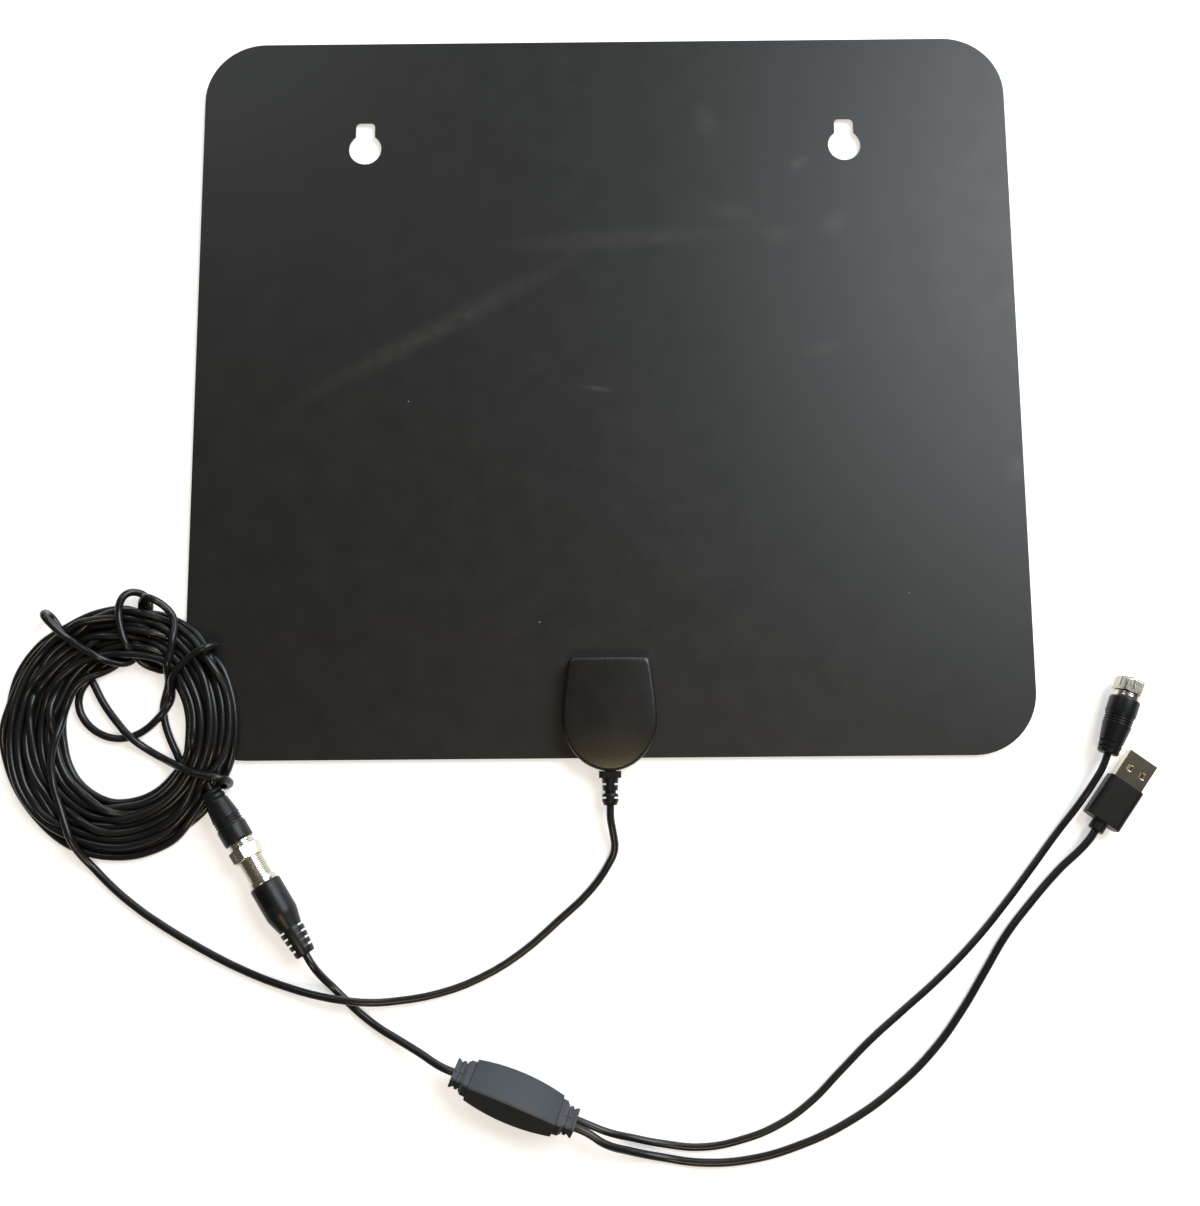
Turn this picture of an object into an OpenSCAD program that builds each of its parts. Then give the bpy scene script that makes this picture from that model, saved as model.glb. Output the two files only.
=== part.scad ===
// Flat indoor television antenna with its lead, an inline amplifier, an aerial plug and a power plug.
// Lengths are in millimetres. +Z is up from the table, +X runs across the panel and +Y runs up it.
// The origin is on the table, under the middle of the panel with its housing and strain relief.

/* [Panel] */
// Width of the panel
panel_w = 335; // [280:1:400]
// Height of the panel
panel_h = 300; // [240:1:360]
// Radius of the panel's corners
panel_r = 25; // [5:1:30]
// Thickness of the front film
front_film_t = 0.25; // [0.2:0.05:0.6]
// Thickness of the back film
back_film_t = 0.45; // [0.4:0.05:0.8]
// Thickness of the foil that lies in the back film
foil_t = 0.1; // [0.05:0.05:0.2]

/* [Hanging holes] */
// Distance between the two hanging holes
key_pitch = 200; // [160:1:230]
// Distance from the panel's top edge to the middle of a hole's round part
key_drop = 47; // [30:1:60]
// Diameter of a hole's round part
key_d = 13.5; // [11:0.5:16]
// Width of a hole's neck
key_neck_w = 8; // [6:0.5:9]
// Distance from the middle of the round part to the end of the neck
key_reach = 11.6; // [9:0.1:16]
// Radius of the neck's corners
key_neck_r = 2; // [0.5:0.5:2.5]

/* [Antenna foil] */
// Distance from the panel's side to the foil
foil_margin = 17.5; // [8:0.5:25]
// Distance from the panel's top edge down to the foil's tips
foil_top = 64; // [62:1:90]
// Distance from the panel's bottom edge up to the foil's lower tips
foil_bottom = 56; // [40:1:90]
// Height of each wing at the feed
foil_waist = 46; // [20:1:70]
// Height of the wings' middle above the panel's middle
foil_rise = 0; // [-10:1:10]
// Width of the feed strip of each wing
foil_feed_w = 8; // [6:0.5:9]
// Width of the gap between the two wings
foil_gap = 4; // [3:0.5:5]

/* [Housing] */
// Width of the housing at its flat top end
shell_top_w = 31.2; // [28:0.2:34]
// Width of the housing at its widest place
shell_w = 36.8; // [35:0.2:42]
// Length from the flat end to the widest place
shell_upper = 24; // [22:0.5:28]
// Length from the widest place to the round end
shell_lower = 20; // [18:0.5:24]
// How far the housing reaches past the panel's bottom edge
shell_overhang = 5; // [4:0.5:7]
// Height of the housing's front over the table
shell_h = 10.6; // [10.2:0.1:13]
// How far the front falls at its sides
shell_crown = 0.9; // [0:0.1:1.2]
// How far the front falls at the round end
shell_fall = 1.9; // [0:0.1:2]
// Radius of the front's edge
shell_edge = 1.3; // [0.5:0.1:1.6]
// Radius of the corners at the flat end
shell_corner = 1.5; // [0.5:0.1:2.5]
// Thickness of the housing's side wall
shell_wall = 1.6; // [1.2:0.1:2]
// Thickness of the housing's front wall
shell_roof = 1.3; // [1:0.1:1.6]
// Thickness of the back plate
plate_t = 1.4; // [1.4:0.1:2.2]

/* [Inside the housing] */
// Diameter of the two posts that hold the housing together
post_d = 3.6; // [3.2:0.1:4.2]
// Diameter of each post's tip
post_tip_d = 2; // [1.4:0.1:2.4]
// Length of each post's tip
post_tip = 0.8; // [0.5:0.1:1]
// Distance between the two posts
post_pitch = 18; // [16:0.5:20]
// Distance from the flat end to the posts
post_drop = 19; // [18:0.5:21]
// Width of the matching board
board_w = 24; // [23:0.5:25]
// Length of the matching board
board_l = 18; // [16:0.5:19]
// Distance from the flat end to the matching board
board_drop = 6; // [5:0.5:7]
// Thickness of the matching board
board_t = 1; // [0.8:0.1:1.2]
// Distance between the two contact pins
contact_pitch = 12; // [11:0.5:13]
// Distance from the flat end to the contact pins
contact_drop = 9; // [8.5:0.5:10]
// Diameter of a contact pin's heads
contact_head_d = 3.4; // [2.6:0.1:3.8]
// Thickness of a contact pin's lower head
contact_head_t = 0.4; // [0.2:0.1:0.6]
// Gap all round between a contact pin's lower head and the back plate
head_gap = 0.2; // [0.1:0.05:0.4]
// Diameter of a contact pin
contact_d = 1.2; // [0.8:0.1:1.6]
// Height of a contact pin's collar, which carries the board
contact_collar = 2.2; // [1.8:0.1:2.4]
// Length of a contact pin over the board
contact_tip = 0.8; // [0.5:0.1:1]
// Length of the transformer's core along the board
core_l = 6; // [5:0.5:8]
// Width of the transformer's core
core_w = 7; // [6:0.5:8]
// Height of the transformer's core
core_h = 2; // [1.6:0.1:2.2]
// Diameter of the transformer's two holes
core_hole_d = 1.2; // [0.8:0.1:1.2]

/* [Strain relief] */
// Height of the cable's middle where it leaves the housing
relief_z = 4.4; // [4.2:0.1:4.6]
// Width of the collar outside the housing
relief_collar_w = 8.7; // [7:0.1:10]
// Height of the collar outside the housing
relief_collar_h = 6.4; // [5.6:0.1:7]
// Length of the collar
relief_collar_l = 2.6; // [2:0.1:4]
// Radius of the collar's edges
relief_collar_r = 1.6; // [0.5:0.1:2.4]
// Diameter of the neck that passes through the housing's wall
relief_neck_d = 4.6; // [4:0.1:5]
// Width of the flange inside the housing
relief_flange_w = 7; // [6:0.1:8]
// Height of the flange inside the housing
relief_flange_h = 5.2; // [5:0.1:5.4]
// Length of the flange inside the housing
relief_flange_l = 1.4; // [1:0.1:2]
// Diameter of the first ribbed stretch
relief_d = 6.4; // [5.6:0.1:7]
// Length of the first ribbed stretch
relief_first_l = 4.8; // [4:0.1:8]
// Diameter of the waist between the ribbed stretches
relief_waist_d = 4.4; // [4:0.1:5]
// Length of the waist
relief_waist_l = 1.2; // [0.8:0.1:2]
// Length of the last ribbed stretch
relief_last_l = 4.4; // [4:0.1:8]
// Diameter of the relief at the cable's exit
relief_end_d = 5; // [4.4:0.1:5.6]
// Gap between the flange and the housing's wall
flange_gap = 0.12; // [0.1:0.01:0.3]
// Distance from the waist to the slot of the last ribbed stretch
relief_slot_in = 1.6; // [1.2:0.1:2]
// How much narrower the ribbed stretches are beside the waist
relief_taper = 0.25; // [0.1:0.05:0.4]
// Length of the taper at the cable's exit
relief_end_l = 1.6; // [1:0.1:2]
// Width of the slots in every strain relief
slot_w = 0.8; // [0.5:0.1:1]

/* [Cables] */
// Diameter of the antenna's cable, its pigtail and the power cable
cable_d = 3; // [2.6:0.1:3]
// Diameter of the output cable
output_d = 2.8; // [2.4:0.1:2.8]
// Diameter of the antenna cable's bared core
core_d = 1.9; // [1.4:0.1:2.2]
// Outer radius of the coil
coil_r = 46; // [44:0.5:48]
// Width of the coil's bundle
coil_w = 18.5; // [16:0.5:20]
// Height of the coil's bundle
coil_h = 9.5; // [8:0.5:12]
// Radius of the bundle's edges
coil_edge = 4; // [2:0.5:4]
// Gap between the coil and what it lies on or beside
coil_gap = 0.3; // [0.2:0.1:0.5]
// Length of cable that shows behind the first plug
tail_l = 4; // [3:0.5:6]

/* [Aerial plugs] */
// Height of the plugs' axis over the table
plug_z = 6.55; // [6.5:0.05:7]
// Diameter of a plug's boot at its front
boot_d = 11.4; // [11:0.1:12.4]
// Diameter of a plug's boot behind its rings
boot_mid_d = 10.7; // [10.4:0.1:11]
// Diameter of a plug's boot at its slotted end
boot_rear_d = 9; // [8.8:0.1:10]
// Diameter of a plug's boot where the cable comes out
boot_end_d = 7.9; // [7.6:0.1:8.6]
// Length of the boot's straight front
boot_front_l = 7.1; // [6:0.1:10]
// Length of the boot's taper
boot_taper_l = 6.6; // [5:0.1:9]
// Length of the boot's slotted end
boot_slot_l = 5.2; // [5:0.1:8]
// Distance from the boot's rear to its first slot
boot_slot_in = 2.1; // [1.6:0.1:2.4]
// Distance from the boot's first slot to its second
boot_slot_pitch = 2.2; // [1.8:0.1:2.6]
// Width of each of the boot's slots
boot_slot_w = 1; // [0.6:0.1:1.2]
// Thickness of the web between the slots of either side
boot_web = 3.8; // [3.4:0.1:4.4]
// How far the slots are turned about the boot's axis
boot_slot_turn = 24; // [0:1:45]
// Chamfer of the boot's front edge
boot_edge = 0.5; // [0.2:0.1:0.8]
// Number of rings round the boot
boot_rings = 3; // [1:1:3]
// Distance from one ring to the next
ring_pitch = 1.05; // [0.9:0.01:1.2]
// Width of the groove beside each ring
ring_groove_w = 0.55; // [0.3:0.05:0.65]
// Depth of the groove beside each ring
ring_groove = 0.45; // [0.2:0.05:0.5]
// Diameter of the metal collar
collar_d = 9.8; // [9:0.1:10.6]
// Length of the metal collar
collar_l = 2.3; // [2:0.1:4]
// Chamfer of the collar's front and of the thread's start
collar_chamfer = 0.3; // [0.1:0.05:0.5]
// Diameter of the neck that the nut turns on
neck_d = 7.6; // [7:0.1:8]
// Diameter of the flange that holds the nut
flange_d = 9; // [8.6:0.1:9.2]
// Length of the flange that holds the nut
flange_l = 0.8; // [0.6:0.1:1.2]
// Diameter of the metal body inside the boot
stem_d = 8; // [6.5:0.1:8]
// Length of the metal body inside the boot
stem_l = 7; // [5:0.5:12]
// Diameter of the insulator in the plug
insulator_d = 5; // [4.4:0.1:5.4]
// Diameter of the centre pin
pin_d = 1; // [0.8:0.1:1.2]
// How far the centre pin reaches past the flange
pin_reach = 4.6; // [4:0.1:8]

/* [Coupling nuts] */
// Distance across the nut's flats
nut_flats = 11; // [10.6:0.1:11.2]
// Length of the nut
nut_l = 5.2; // [4.8:0.1:7]
// Chamfer of the nut's front
nut_chamfer = 1.2; // [0.4:0.1:1.4]
// Chamfer of the nut's rear
nut_rear_chamfer = 0.6; // [0.2:0.1:1]
// Thickness of the nut's rear wall
nut_wall = 1.2; // [0.8:0.1:1.6]
// Diameter over the crests of the thread that the nut takes
thread_d = 9.525; // [9.3:0.025:9.6]
// Gap all round between the thread and the nut
thread_gap = 0.06; // [0.03:0.01:0.1]
// Gap along the axis at each end of the nut's rear wall
nut_gap = 0.15; // [0.05:0.05:0.3]
// Gap all round between the nut's rear wall and its neck
neck_gap = 0.08; // [0.03:0.01:0.1]

/* [Socket] */
// Length of the thread that shows past the nut
barrel_l = 9.1; // [8:0.1:14]
// Diameter of the socket's shoulder
shoulder_d = 10.8; // [10:0.1:11.4]
// Length of the socket's shoulder
shoulder_l = 1.9; // [1:0.1:3]
// Wall of the socket's barrel
barrel_wall = 1.6; // [1.2:0.1:2]
// Diameter of the socket's boot
jack_boot_d = 12.1; // [11.8:0.1:12.8]
// Length of the boot's straight stretch
jack_boot_l = 13.4; // [11:0.1:18]
// Length of the boot's cone
jack_cone_l = 6.3; // [4:0.1:9]
// Diameter of the boot at the end of its cone
jack_cone_d = 9; // [8.4:0.1:10]
// Length of the slotted strain relief
jack_relief_l = 11.5; // [10:0.1:15]
// Diameter of the strain relief at the boot
jack_relief_d = 9.6; // [8.6:0.1:10]
// Diameter of the strain relief at the cable
jack_relief_end_d = 7.5; // [6.6:0.1:8]
// Number of slots on each side of the strain relief
jack_slots = 4; // [2:1:4]
// Width of the web that the slots leave
jack_web = 3.6; // [3.2:0.1:4.4]
// Number of grip grooves on the boot
grip_grooves = 9; // [5:1:9]
// Distance from the shoulder to the first grip groove
grip_in = 2.2; // [1.5:0.1:3]
// How far the patch of grip grooves is turned round the boot
grip_turn = 195; // [180:1:210]
// Distance from one grip groove to the next
grip_pitch = 0.85; // [0.6:0.05:0.9]
// Width of a grip groove
grip_w = 0.4; // [0.2:0.05:0.5]
// Length of a grip groove across the boot
grip_across = 3.6; // [2:0.1:5]
// Depth of a grip groove
grip_depth = 0.4; // [0.2:0.05:0.6]
// Diameter of the socket's contact
contact_tube_d = 2.4; // [2:0.1:3]
// How far the socket's contact lies behind its mouth
contact_in = 0.5; // [0.3:0.1:1]
// Gap all round between the centre pin and the socket's contact
contact_gap = 0.1; // [0.05:0.05:0.2]

/* [Amplifier] */
// Length of the amplifier's body without its collars
amp_l = 34.5; // [32:0.5:42]
// Width of the body in its middle
amp_w = 15; // [14.4:0.1:18]
// Thickness of the body in its middle
amp_t = 12; // [11.6:0.1:14]
// How much narrower the body is at each side of its ends
amp_side_bulge = 0.9; // [0:0.1:1.2]
// How much thinner the body is at each face of its ends
amp_face_bulge = 1.8; // [0:0.1:2]
// Chamfer along the body's long edges
amp_edge = 0.5; // [0.2:0.1:1]
// Length of each collar
amp_collar_l = 7.2; // [6:0.1:10]
// Thickness of the amplifier's walls
amp_wall = 1.3; // [1:0.1:1.6]
// How far the amplifier is rolled about its length
amp_roll = 50; // [20:1:60]
// Width of the amplifier's board
amp_board_w = 9.5; // [8:0.5:10]
// Length of the amplifier's board
amp_board_l = 30; // [26:0.5:31]
// Thickness of the amplifier's board
amp_board_t = 1; // [0.8:0.1:1.2]
// Width of the ledge that holds the board's edge all round
amp_ledge = 0.7; // [0.5:0.1:1]
// Length of the amplifier's screening can
can_l = 12; // [8:0.5:16]
// Width of the amplifier's screening can
can_w = 7; // [5:0.5:7.5]
// Height of the amplifier's screening can
can_h = 2; // [1.6:0.1:2.2]
// Distance between the two cables that leave the amplifier
outlet_pitch = 3.4; // [3.1:0.1:4.4]

/* [Power plug] */
// Length of the grip
grip_l = 17.8; // [15:0.1:24]
// Width of the grip
usb_grip_w = 14.4; // [14:0.1:17]
// Thickness of the grip
usb_grip_t = 8; // [7:0.1:9]
// Gap between the grip and the table
usb_lift = 0.1; // [0:0.05:0.3]
// Radius of the grip's long edges
usb_grip_r = 2.6; // [1:0.1:3.4]
// Diameter of the cable's sleeve behind the grip
usb_sleeve_d = 6; // [5:0.1:6.6]
// Length of the cable's sleeve behind the grip
usb_sleeve_l = 4; // [2:0.1:8]
// Width of the plug's metal shell
usb_w = 12; // [11.8:0.1:12.2]
// Thickness of the plug's metal shell
usb_t = 4.5; // [4.4:0.1:4.6]
// Length of the shell past the grip
usb_l = 11.8; // [11:0.1:13]
// Length of the shell inside the grip
usb_root_l = 5; // [3:0.1:8]
// Wall of the metal shell
usb_wall = 0.3; // [0.25:0.05:0.4]
// Side of the shell's square windows
usb_window = 2.2; // [1.8:0.1:2.4]
// Distance between the windows
usb_window_pitch = 5.6; // [4.6:0.1:6]
// Distance from the shell's mouth to the windows' middle
usb_window_in = 6.2; // [5:0.1:7.5]
// Thickness of the plastic tongue
tongue_t = 1.8; // [1.6:0.1:1.9]
// How far the tongue stays behind the shell's mouth
tongue_in = 0.8; // [0.4:0.1:1.5]
// Distance between the two outer contact strips
strip_outer = 7; // [6.8:0.1:7.2]
// Distance between the two inner contact strips
strip_inner = 2; // [1.8:0.1:2.2]
// Width of a contact strip
strip_w = 1; // [0.8:0.1:1.2]
// Thickness of a contact strip
strip_t = 0.2; // [0.1:0.05:0.3]
// Length of the strips at the outside; the two in the middle are shorter
strip_l = 8.6; // [7:0.1:9.4]
// How much shorter the two middle strips are
strip_short = 1; // [0.5:0.1:1.5]
// Distance from the shell's mouth to the outer strips
strip_in = 1.4; // [1.4:0.1:2]

/* [Hidden] */
$fn = 48;
eps = 0.01;
seat = 0.03;

// Heights of the layers over the table
panel_z = plate_t;
panel_top_z = panel_z + back_film_t + front_film_t;
board_z = panel_top_z + contact_collar;

// Places along Y
relief_l = relief_collar_l + relief_first_l + relief_waist_l + relief_last_l;
panel_mid_y = (shell_overhang + relief_l) / 2;
panel_top_y = panel_mid_y + panel_h / 2;
panel_bottom_y = panel_mid_y - panel_h / 2;
shell_end_y = panel_bottom_y - shell_overhang;
exit_y = shell_end_y - relief_l;
shell_wide_y = shell_end_y + shell_lower;
shell_flat_y = shell_wide_y + shell_upper;
key_y = panel_top_y - key_drop;

// The housing's outline about its widest place, counterclockwise, drawn in to leave a wall
function shell_side(y) = shell_w / 2 - (shell_w - shell_top_w) / 2 * pow(y / shell_upper, 1.5);
function shell_outline(in = 0) = let (
    top = shell_upper - in,
    r = shell_corner,
    corner_x = shell_top_w / 2 - in - r,
    right = [for (i = [0:5]) let (y = (top - r) * i / 5) [shell_side(y) - in, y]],
    corner = [for (a = [25:25:75]) [corner_x + r * cos(a), top - r + r * sin(a)]],
    edge = [[corner_x, top], [corner_x / 2, top], [0, top], [-corner_x / 2, top], [-corner_x, top]],
    left = [for (i = [len(corner) - 1:-1:0]) [-corner[i].x, corner[i].y]],
    left_side = [for (i = [5:-1:0]) [-right[i].x, right[i].y]],
    round_end = [for (a = [188:8:352]) [(shell_w / 2 - in) * cos(a), (shell_lower - in) * sin(a)]]
) concat(right, corner, edge, left, left_side, round_end);

// Height of the front over the table at a place about the housing's widest place
function shell_top(p) = shell_h - shell_crown * pow(2 * p.x / shell_w, 2)
    - shell_fall * pow(max(0, shell_upper / 3 - p.y) / (shell_upper / 3 + shell_lower), 2);

// Routes of the cables, from the place where the antenna's cable leaves its strain relief
coil_at = [-191.5, 31.5];
plug_at = [-154.3, 6.6];
plug_turn = -58;
amp_at = [-36.7, -106.6];
amp_turn = -22.3;
output_at = [192, 18.2];
output_turn = 68.4;
usb_at = [186.5, -11];
usb_turn = 54;
straight = 5;
lead_route = [[1, -11, 3.6], [1.5, -17, 2.2], [-0.5, -22, 1.5], [-8, -32.5, 1.5], [-20, -43.5, 1.5],
    [-35, -56, 1.5], [-50.5, -65, 1.5], [-66, -70.5, 1.5], [-82, -73, 2.6], [-92, -73.2, 4.4],
    [-101.5, -72.2, 5.2], [-111, -70.7, 4.4], [-121, -68.5, 2.6], [-138.5, -62.5, 1.5],
    [-158, -53, 1.5], [-177.5, -41.5, 1.5], [-192, -30.5, 2], [-200, -23, 5], [-205, -15.5, 9.2],
    [-209, -7, 11.3], [-213, 3, 11.6], [-216, 13, 11.6], [-217, 23, 11.5], [-216, 33, 11.4],
    [-213, 41.5, 11.3], [-208.5, 49.5, 11], [-203, 56, 9.4]];
lead_end = [-197, 62, 6.2];
pigtail_route = [[-110, -64, 3.6], [-106.5, -68, 1.5], [-101.5, -72.7, 1.5], [-95.5, -78, 1.5],
    [-88.5, -83, 2], [-80, -87.4, 4], [-72.5, -90.9, 7]];
output_route = [[-2, -119.7, 7.4], [7, -122.8, 3.8], [18, -125.6, 1.4], [33, -127, 1.4],
    [48, -124.5, 1.4], [62.5, -119, 1.4], [74.5, -111, 1.4], [86, -100, 1.4], [97.5, -89, 1.4],
    [110, -78.5, 1.4], [125, -66, 1.4], [139, -52.5, 1.4], [151, -39, 1.4], [162, -25.5, 1.4],
    [172.5, -12, 2], [181, -1, 3.8], [186.5, 7.5, 6]];
power_route = [[-3, -123.2, 9.8], [6, -127, 5.4], [18, -130.5, 1.6], [33, -132.5, 1.5],
    [51, -131.5, 1.5], [70, -126.5, 1.5], [89, -118, 1.5], [107.5, -105.5, 1.5], [122, -92, 1.5],
    [133, -78, 1.5], [142.5, -63.5, 1.5], [151, -50.5, 1.5], [161, -38.5, 1.5], [172, -26.5, 2]];

// Where the relief's flange starts: clear of the housing's curved wall over the flange's width
flange_in = shell_wall + flange_gap + (shell_lower - shell_wall)
    * (1 - sqrt(1 - pow(relief_flange_w / (shell_w - 2 * shell_wall), 2)));

// Sizes of the plugs along their axis, from where the cable comes in
boot_rings_l = (boot_rings - 1) * ring_pitch + ring_groove_w + 2 * ring_groove_w;
boot_l = boot_slot_l + boot_taper_l + boot_rings_l + boot_front_l;
collar_end = boot_l + collar_l;
nut_start = collar_end + nut_gap;
nut_end = nut_start + nut_l;
flange_start = nut_start + nut_wall + nut_gap;
flange_end = flange_start + flange_l;
barrel_start = flange_end + nut_gap;
barrel_end = nut_end + barrel_l;
shoulder_end = barrel_end + shoulder_l;
cone_start = shoulder_end + jack_boot_l;
cone_end = cone_start + jack_cone_l;
jack_end = cone_end + jack_relief_l;
insulator_start = boot_l - stem_l;
pin_end = flange_end + pin_reach;
nut_bore_d = thread_d + 2 * thread_gap;
barrel_bore_d = thread_d - 2 * barrel_wall;
contact_bore_d = pin_d + 2 * contact_gap;
contact_start = barrel_start + contact_in;

// Sizes of the amplifier about its middle
amp_end = amp_l / 2 + amp_collar_l;
amp_end_w = amp_w - 2 * amp_side_bulge;
amp_end_t = amp_t - 2 * amp_face_bulge;
amp_z = amp_w / 2 * sin(amp_roll) + amp_t / 2 * cos(amp_roll);
amp_rings = 10;
usb_z = usb_grip_t / 2 + usb_lift;
usb_boot_l = usb_sleeve_l + grip_l;

// A place on an axis that lies flat, as seen by the cables' routes
function ahead(at, turn, far, z) = [at.x + far * cos(turn), at.y + far * sin(turn), z];
// A place in the amplifier, as seen by the cables' routes
function in_amp(along, across) = [
    amp_at.x + along * cos(amp_turn) - across * cos(amp_roll) * sin(amp_turn),
    amp_at.y + along * sin(amp_turn) + across * cos(amp_roll) * cos(amp_turn),
    amp_z - across * sin(amp_roll)];

lead_path = concat([[0, 0, relief_z], [0, -straight, relief_z]], lead_route, [lead_end]);
pigtail_path = concat([ahead(plug_at, plug_turn, jack_end, plug_z),
    ahead(plug_at, plug_turn, jack_end + straight, plug_z)],
    pigtail_route, [in_amp(-amp_end - straight, 0), in_amp(-amp_end, 0)]);
output_path = concat([in_amp(amp_end, outlet_pitch / 2), in_amp(amp_end + straight, outlet_pitch / 2)],
    output_route, [ahead(output_at, output_turn, -straight, plug_z),
    ahead(output_at, output_turn, 0, plug_z)]);
power_path = concat([in_amp(amp_end, -outlet_pitch / 2), in_amp(amp_end + straight, -outlet_pitch / 2)],
    power_route, [ahead(usb_at, usb_turn, -straight, usb_z), ahead(usb_at, usb_turn, 0, usb_z)]);

// Moves what is drawn about the cable's exit to its place
module at_exit() {
    translate([0, exit_y, 0]) children();
}

// Lays an upright plug on the table, with its rear at a place and its front turned
module laid(at, turn, z) {
    at_exit() translate([at.x, at.y, z]) rotate([0, 90, turn]) children();
}

// A rectangle with round corners about the origin
module rounded(w, h, r) {
    square([w - 2 * r, h], center = true);
    square([w, h - 2 * r], center = true);
    for (x = [-1, 1], y = [-1, 1]) translate([x * (w / 2 - r), y * (h / 2 - r)]) circle(r);
}

// A solid through rings of points, each ring counterclockwise about the way from first to last
module loft(rings) {
    n = len(rings[0]);
    last = (len(rings) - 1) * n;
    polyhedron(
        points = [for (ring = rings) each ring],
        faces = concat(
            [[for (j = [0:n - 1]) j]],
            [[for (j = [n - 1:-1:0]) last + j]],
            [for (i = [0:len(rings) - 2], j = [0:n - 1]) let (a = i * n + j, b = i * n + (j + 1) % n)
                each [[a, a + n, b + n], [a, b + n, b]]]));
}

// A round cable through the points of its path
module tube(path, d, sides = 8) {
    last = len(path) - 1;
    loft([for (i = [0:last]) let (
        way = path[min(i + 1, last)] - path[max(i - 1, 0)],
        along = way / norm(way),
        across = cross([0, 0, 1], along),
        side = across / norm(across),
        up = cross(along, side))
        [for (j = [0:sides - 1]) let (a = -90 + 360 * j / sides)
            path[i] + d / 2 * (cos(a) * side + sin(a) * up)]]);
}

// Grooves in the outline of a round body, from one height upwards
function grooves(r, start, count, pitch, w, deep) = [for (i = [0:count - 1])
    each [[r, start + i * pitch], [r - deep, start + i * pitch],
        [r - deep, start + i * pitch + w], [r, start + i * pitch + w]]];

module panel_outline() {
    translate([0, panel_mid_y]) rounded(panel_w, panel_h, panel_r);
}

module keyhole() {
    neck = key_reach - key_neck_r;
    circle(key_d / 2);
    translate([-key_neck_w / 2, 0]) square([key_neck_w, neck]);
    translate([-key_neck_w / 2 + key_neck_r, 0]) square([key_neck_w - 2 * key_neck_r, key_reach]);
    for (x = [-1, 1]) translate([x * (key_neck_w / 2 - key_neck_r), neck]) circle(key_neck_r);
}

module contact_places() {
    for (x = [-1, 1]) translate([x * contact_pitch / 2, shell_flat_y - contact_drop]) children();
}

module post_places() {
    for (x = [-1, 1]) translate([x * post_pitch / 2, shell_flat_y - post_drop]) children();
}

// What both films have: the outline, the hanging holes, and the holes for the pins and posts
module film() {
    difference() {
        panel_outline();
        for (x = [-1, 1]) translate([x * key_pitch / 2, key_y]) keyhole();
        contact_places() circle(contact_d / 2);
        post_places() circle(post_d / 2 + seat);
    }
}

// One wing of the foil with its feed strip, on the right
module foil_wing() {
    inner = foil_gap / 2;
    outer = panel_w / 2 - foil_margin;
    waist = panel_mid_y + foil_rise;
    polygon([[inner, shell_flat_y - contact_drop - foil_feed_w / 2],
        [inner + foil_feed_w, shell_flat_y - contact_drop - foil_feed_w / 2],
        [inner + foil_feed_w, waist - foil_waist / 2],
        [outer, panel_bottom_y + foil_bottom],
        [outer, panel_top_y - foil_top],
        [inner, waist + foil_waist / 2]]);
}

module foil_shape() {
    foil_wing();
    mirror([1, 0]) foil_wing();
}

module panel_front_film() {
    color([0.09, 0.095, 0.1]) translate([0, 0, panel_z + back_film_t])
        linear_extrude(front_film_t) film();
}

module panel_back_film() {
    color([0.08, 0.08, 0.085]) translate([0, 0, panel_z]) difference() {
        linear_extrude(back_film_t) film();
        translate([0, 0, back_film_t - foil_t]) linear_extrude(foil_t + 1) foil_shape();
    }
}

module antenna_foil() {
    color([0.75, 0.75, 0.77]) translate([0, 0, panel_z + back_film_t - foil_t])
        linear_extrude(foil_t) difference() {
            foil_shape();
            contact_places() circle(contact_d / 2);
        }
}

// The domed front cover, as one skin that runs over its edge and back inside
module shell_skin() {
    outer = shell_outline();
    inner = shell_outline(shell_wall);
    n = len(outer);
    function ring(points, share, lift, z) =
        [for (p = points) [share * p.x, share * p.y, (z == undef ? shell_top(share * p) : z) + lift]];
    edge = [for (a = [0:30:90]) ring(outer, 1 - shell_edge * (1 - sin(a)) / (shell_w / 2),
        -shell_edge * (1 - cos(a)))];
    roof = [for (s = [0.25, 0.5, 0.75]) ring(outer, s, 0)];
    lower = [edge[0], edge[1], edge[2], edge[3]];
    rings = concat(roof, lower, [ring(outer, 1, 0, plate_t), ring(inner, 1, 0, plate_t),
        ring(inner, 1, -shell_roof), ring(inner, 0.66, -shell_roof), ring(inner, 0.33, -shell_roof)]);
    first = 1;
    last = 1 + (len(rings) - 1) * n;
    polyhedron(
        points = concat([[0, 0, shell_top([0, 0])]], [for (r = rings) each r],
            [[0, 0, shell_top([0, 0]) - shell_roof]]),
        faces = concat(
            [for (j = [0:n - 1]) [0, first + (j + 1) % n, first + j]],
            [for (j = [0:n - 1]) [last + n, last + j, last + (j + 1) % n]],
            [for (i = [0:len(rings) - 2], j = [0:n - 1]) let (a = first + i * n + j,
                b = first + i * n + (j + 1) % n) each [[a, b + n, a + n], [a, b, b + n]]]));
}

module housing_front_shell() {
    wall_mid_y = shell_end_y + shell_wall / 2;
    post_top_z = shell_top([post_pitch / 2, shell_upper - post_drop]) - shell_roof / 2;
    color([0.05, 0.05, 0.055]) {
        difference() {
            translate([0, shell_wide_y, 0]) shell_skin();
            translate([-shell_w, panel_bottom_y, 0]) cube([2 * shell_w, panel_h, panel_top_z]);
            translate([0, wall_mid_y, relief_z]) rotate([90, 0, 0])
                cylinder(d = relief_neck_d, h = 3 * shell_wall, center = true);
            translate([-relief_neck_d / 2, wall_mid_y - 1.5 * shell_wall, 0])
                cube([relief_neck_d, 3 * shell_wall, relief_z]);
        }
        post_places() {
            translate([0, 0, panel_z]) cylinder(d = post_d, h = post_top_z - panel_z);
            translate([0, 0, panel_z - post_tip]) cylinder(d = post_tip_d, h = post_tip + eps);
        }
    }
}

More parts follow.
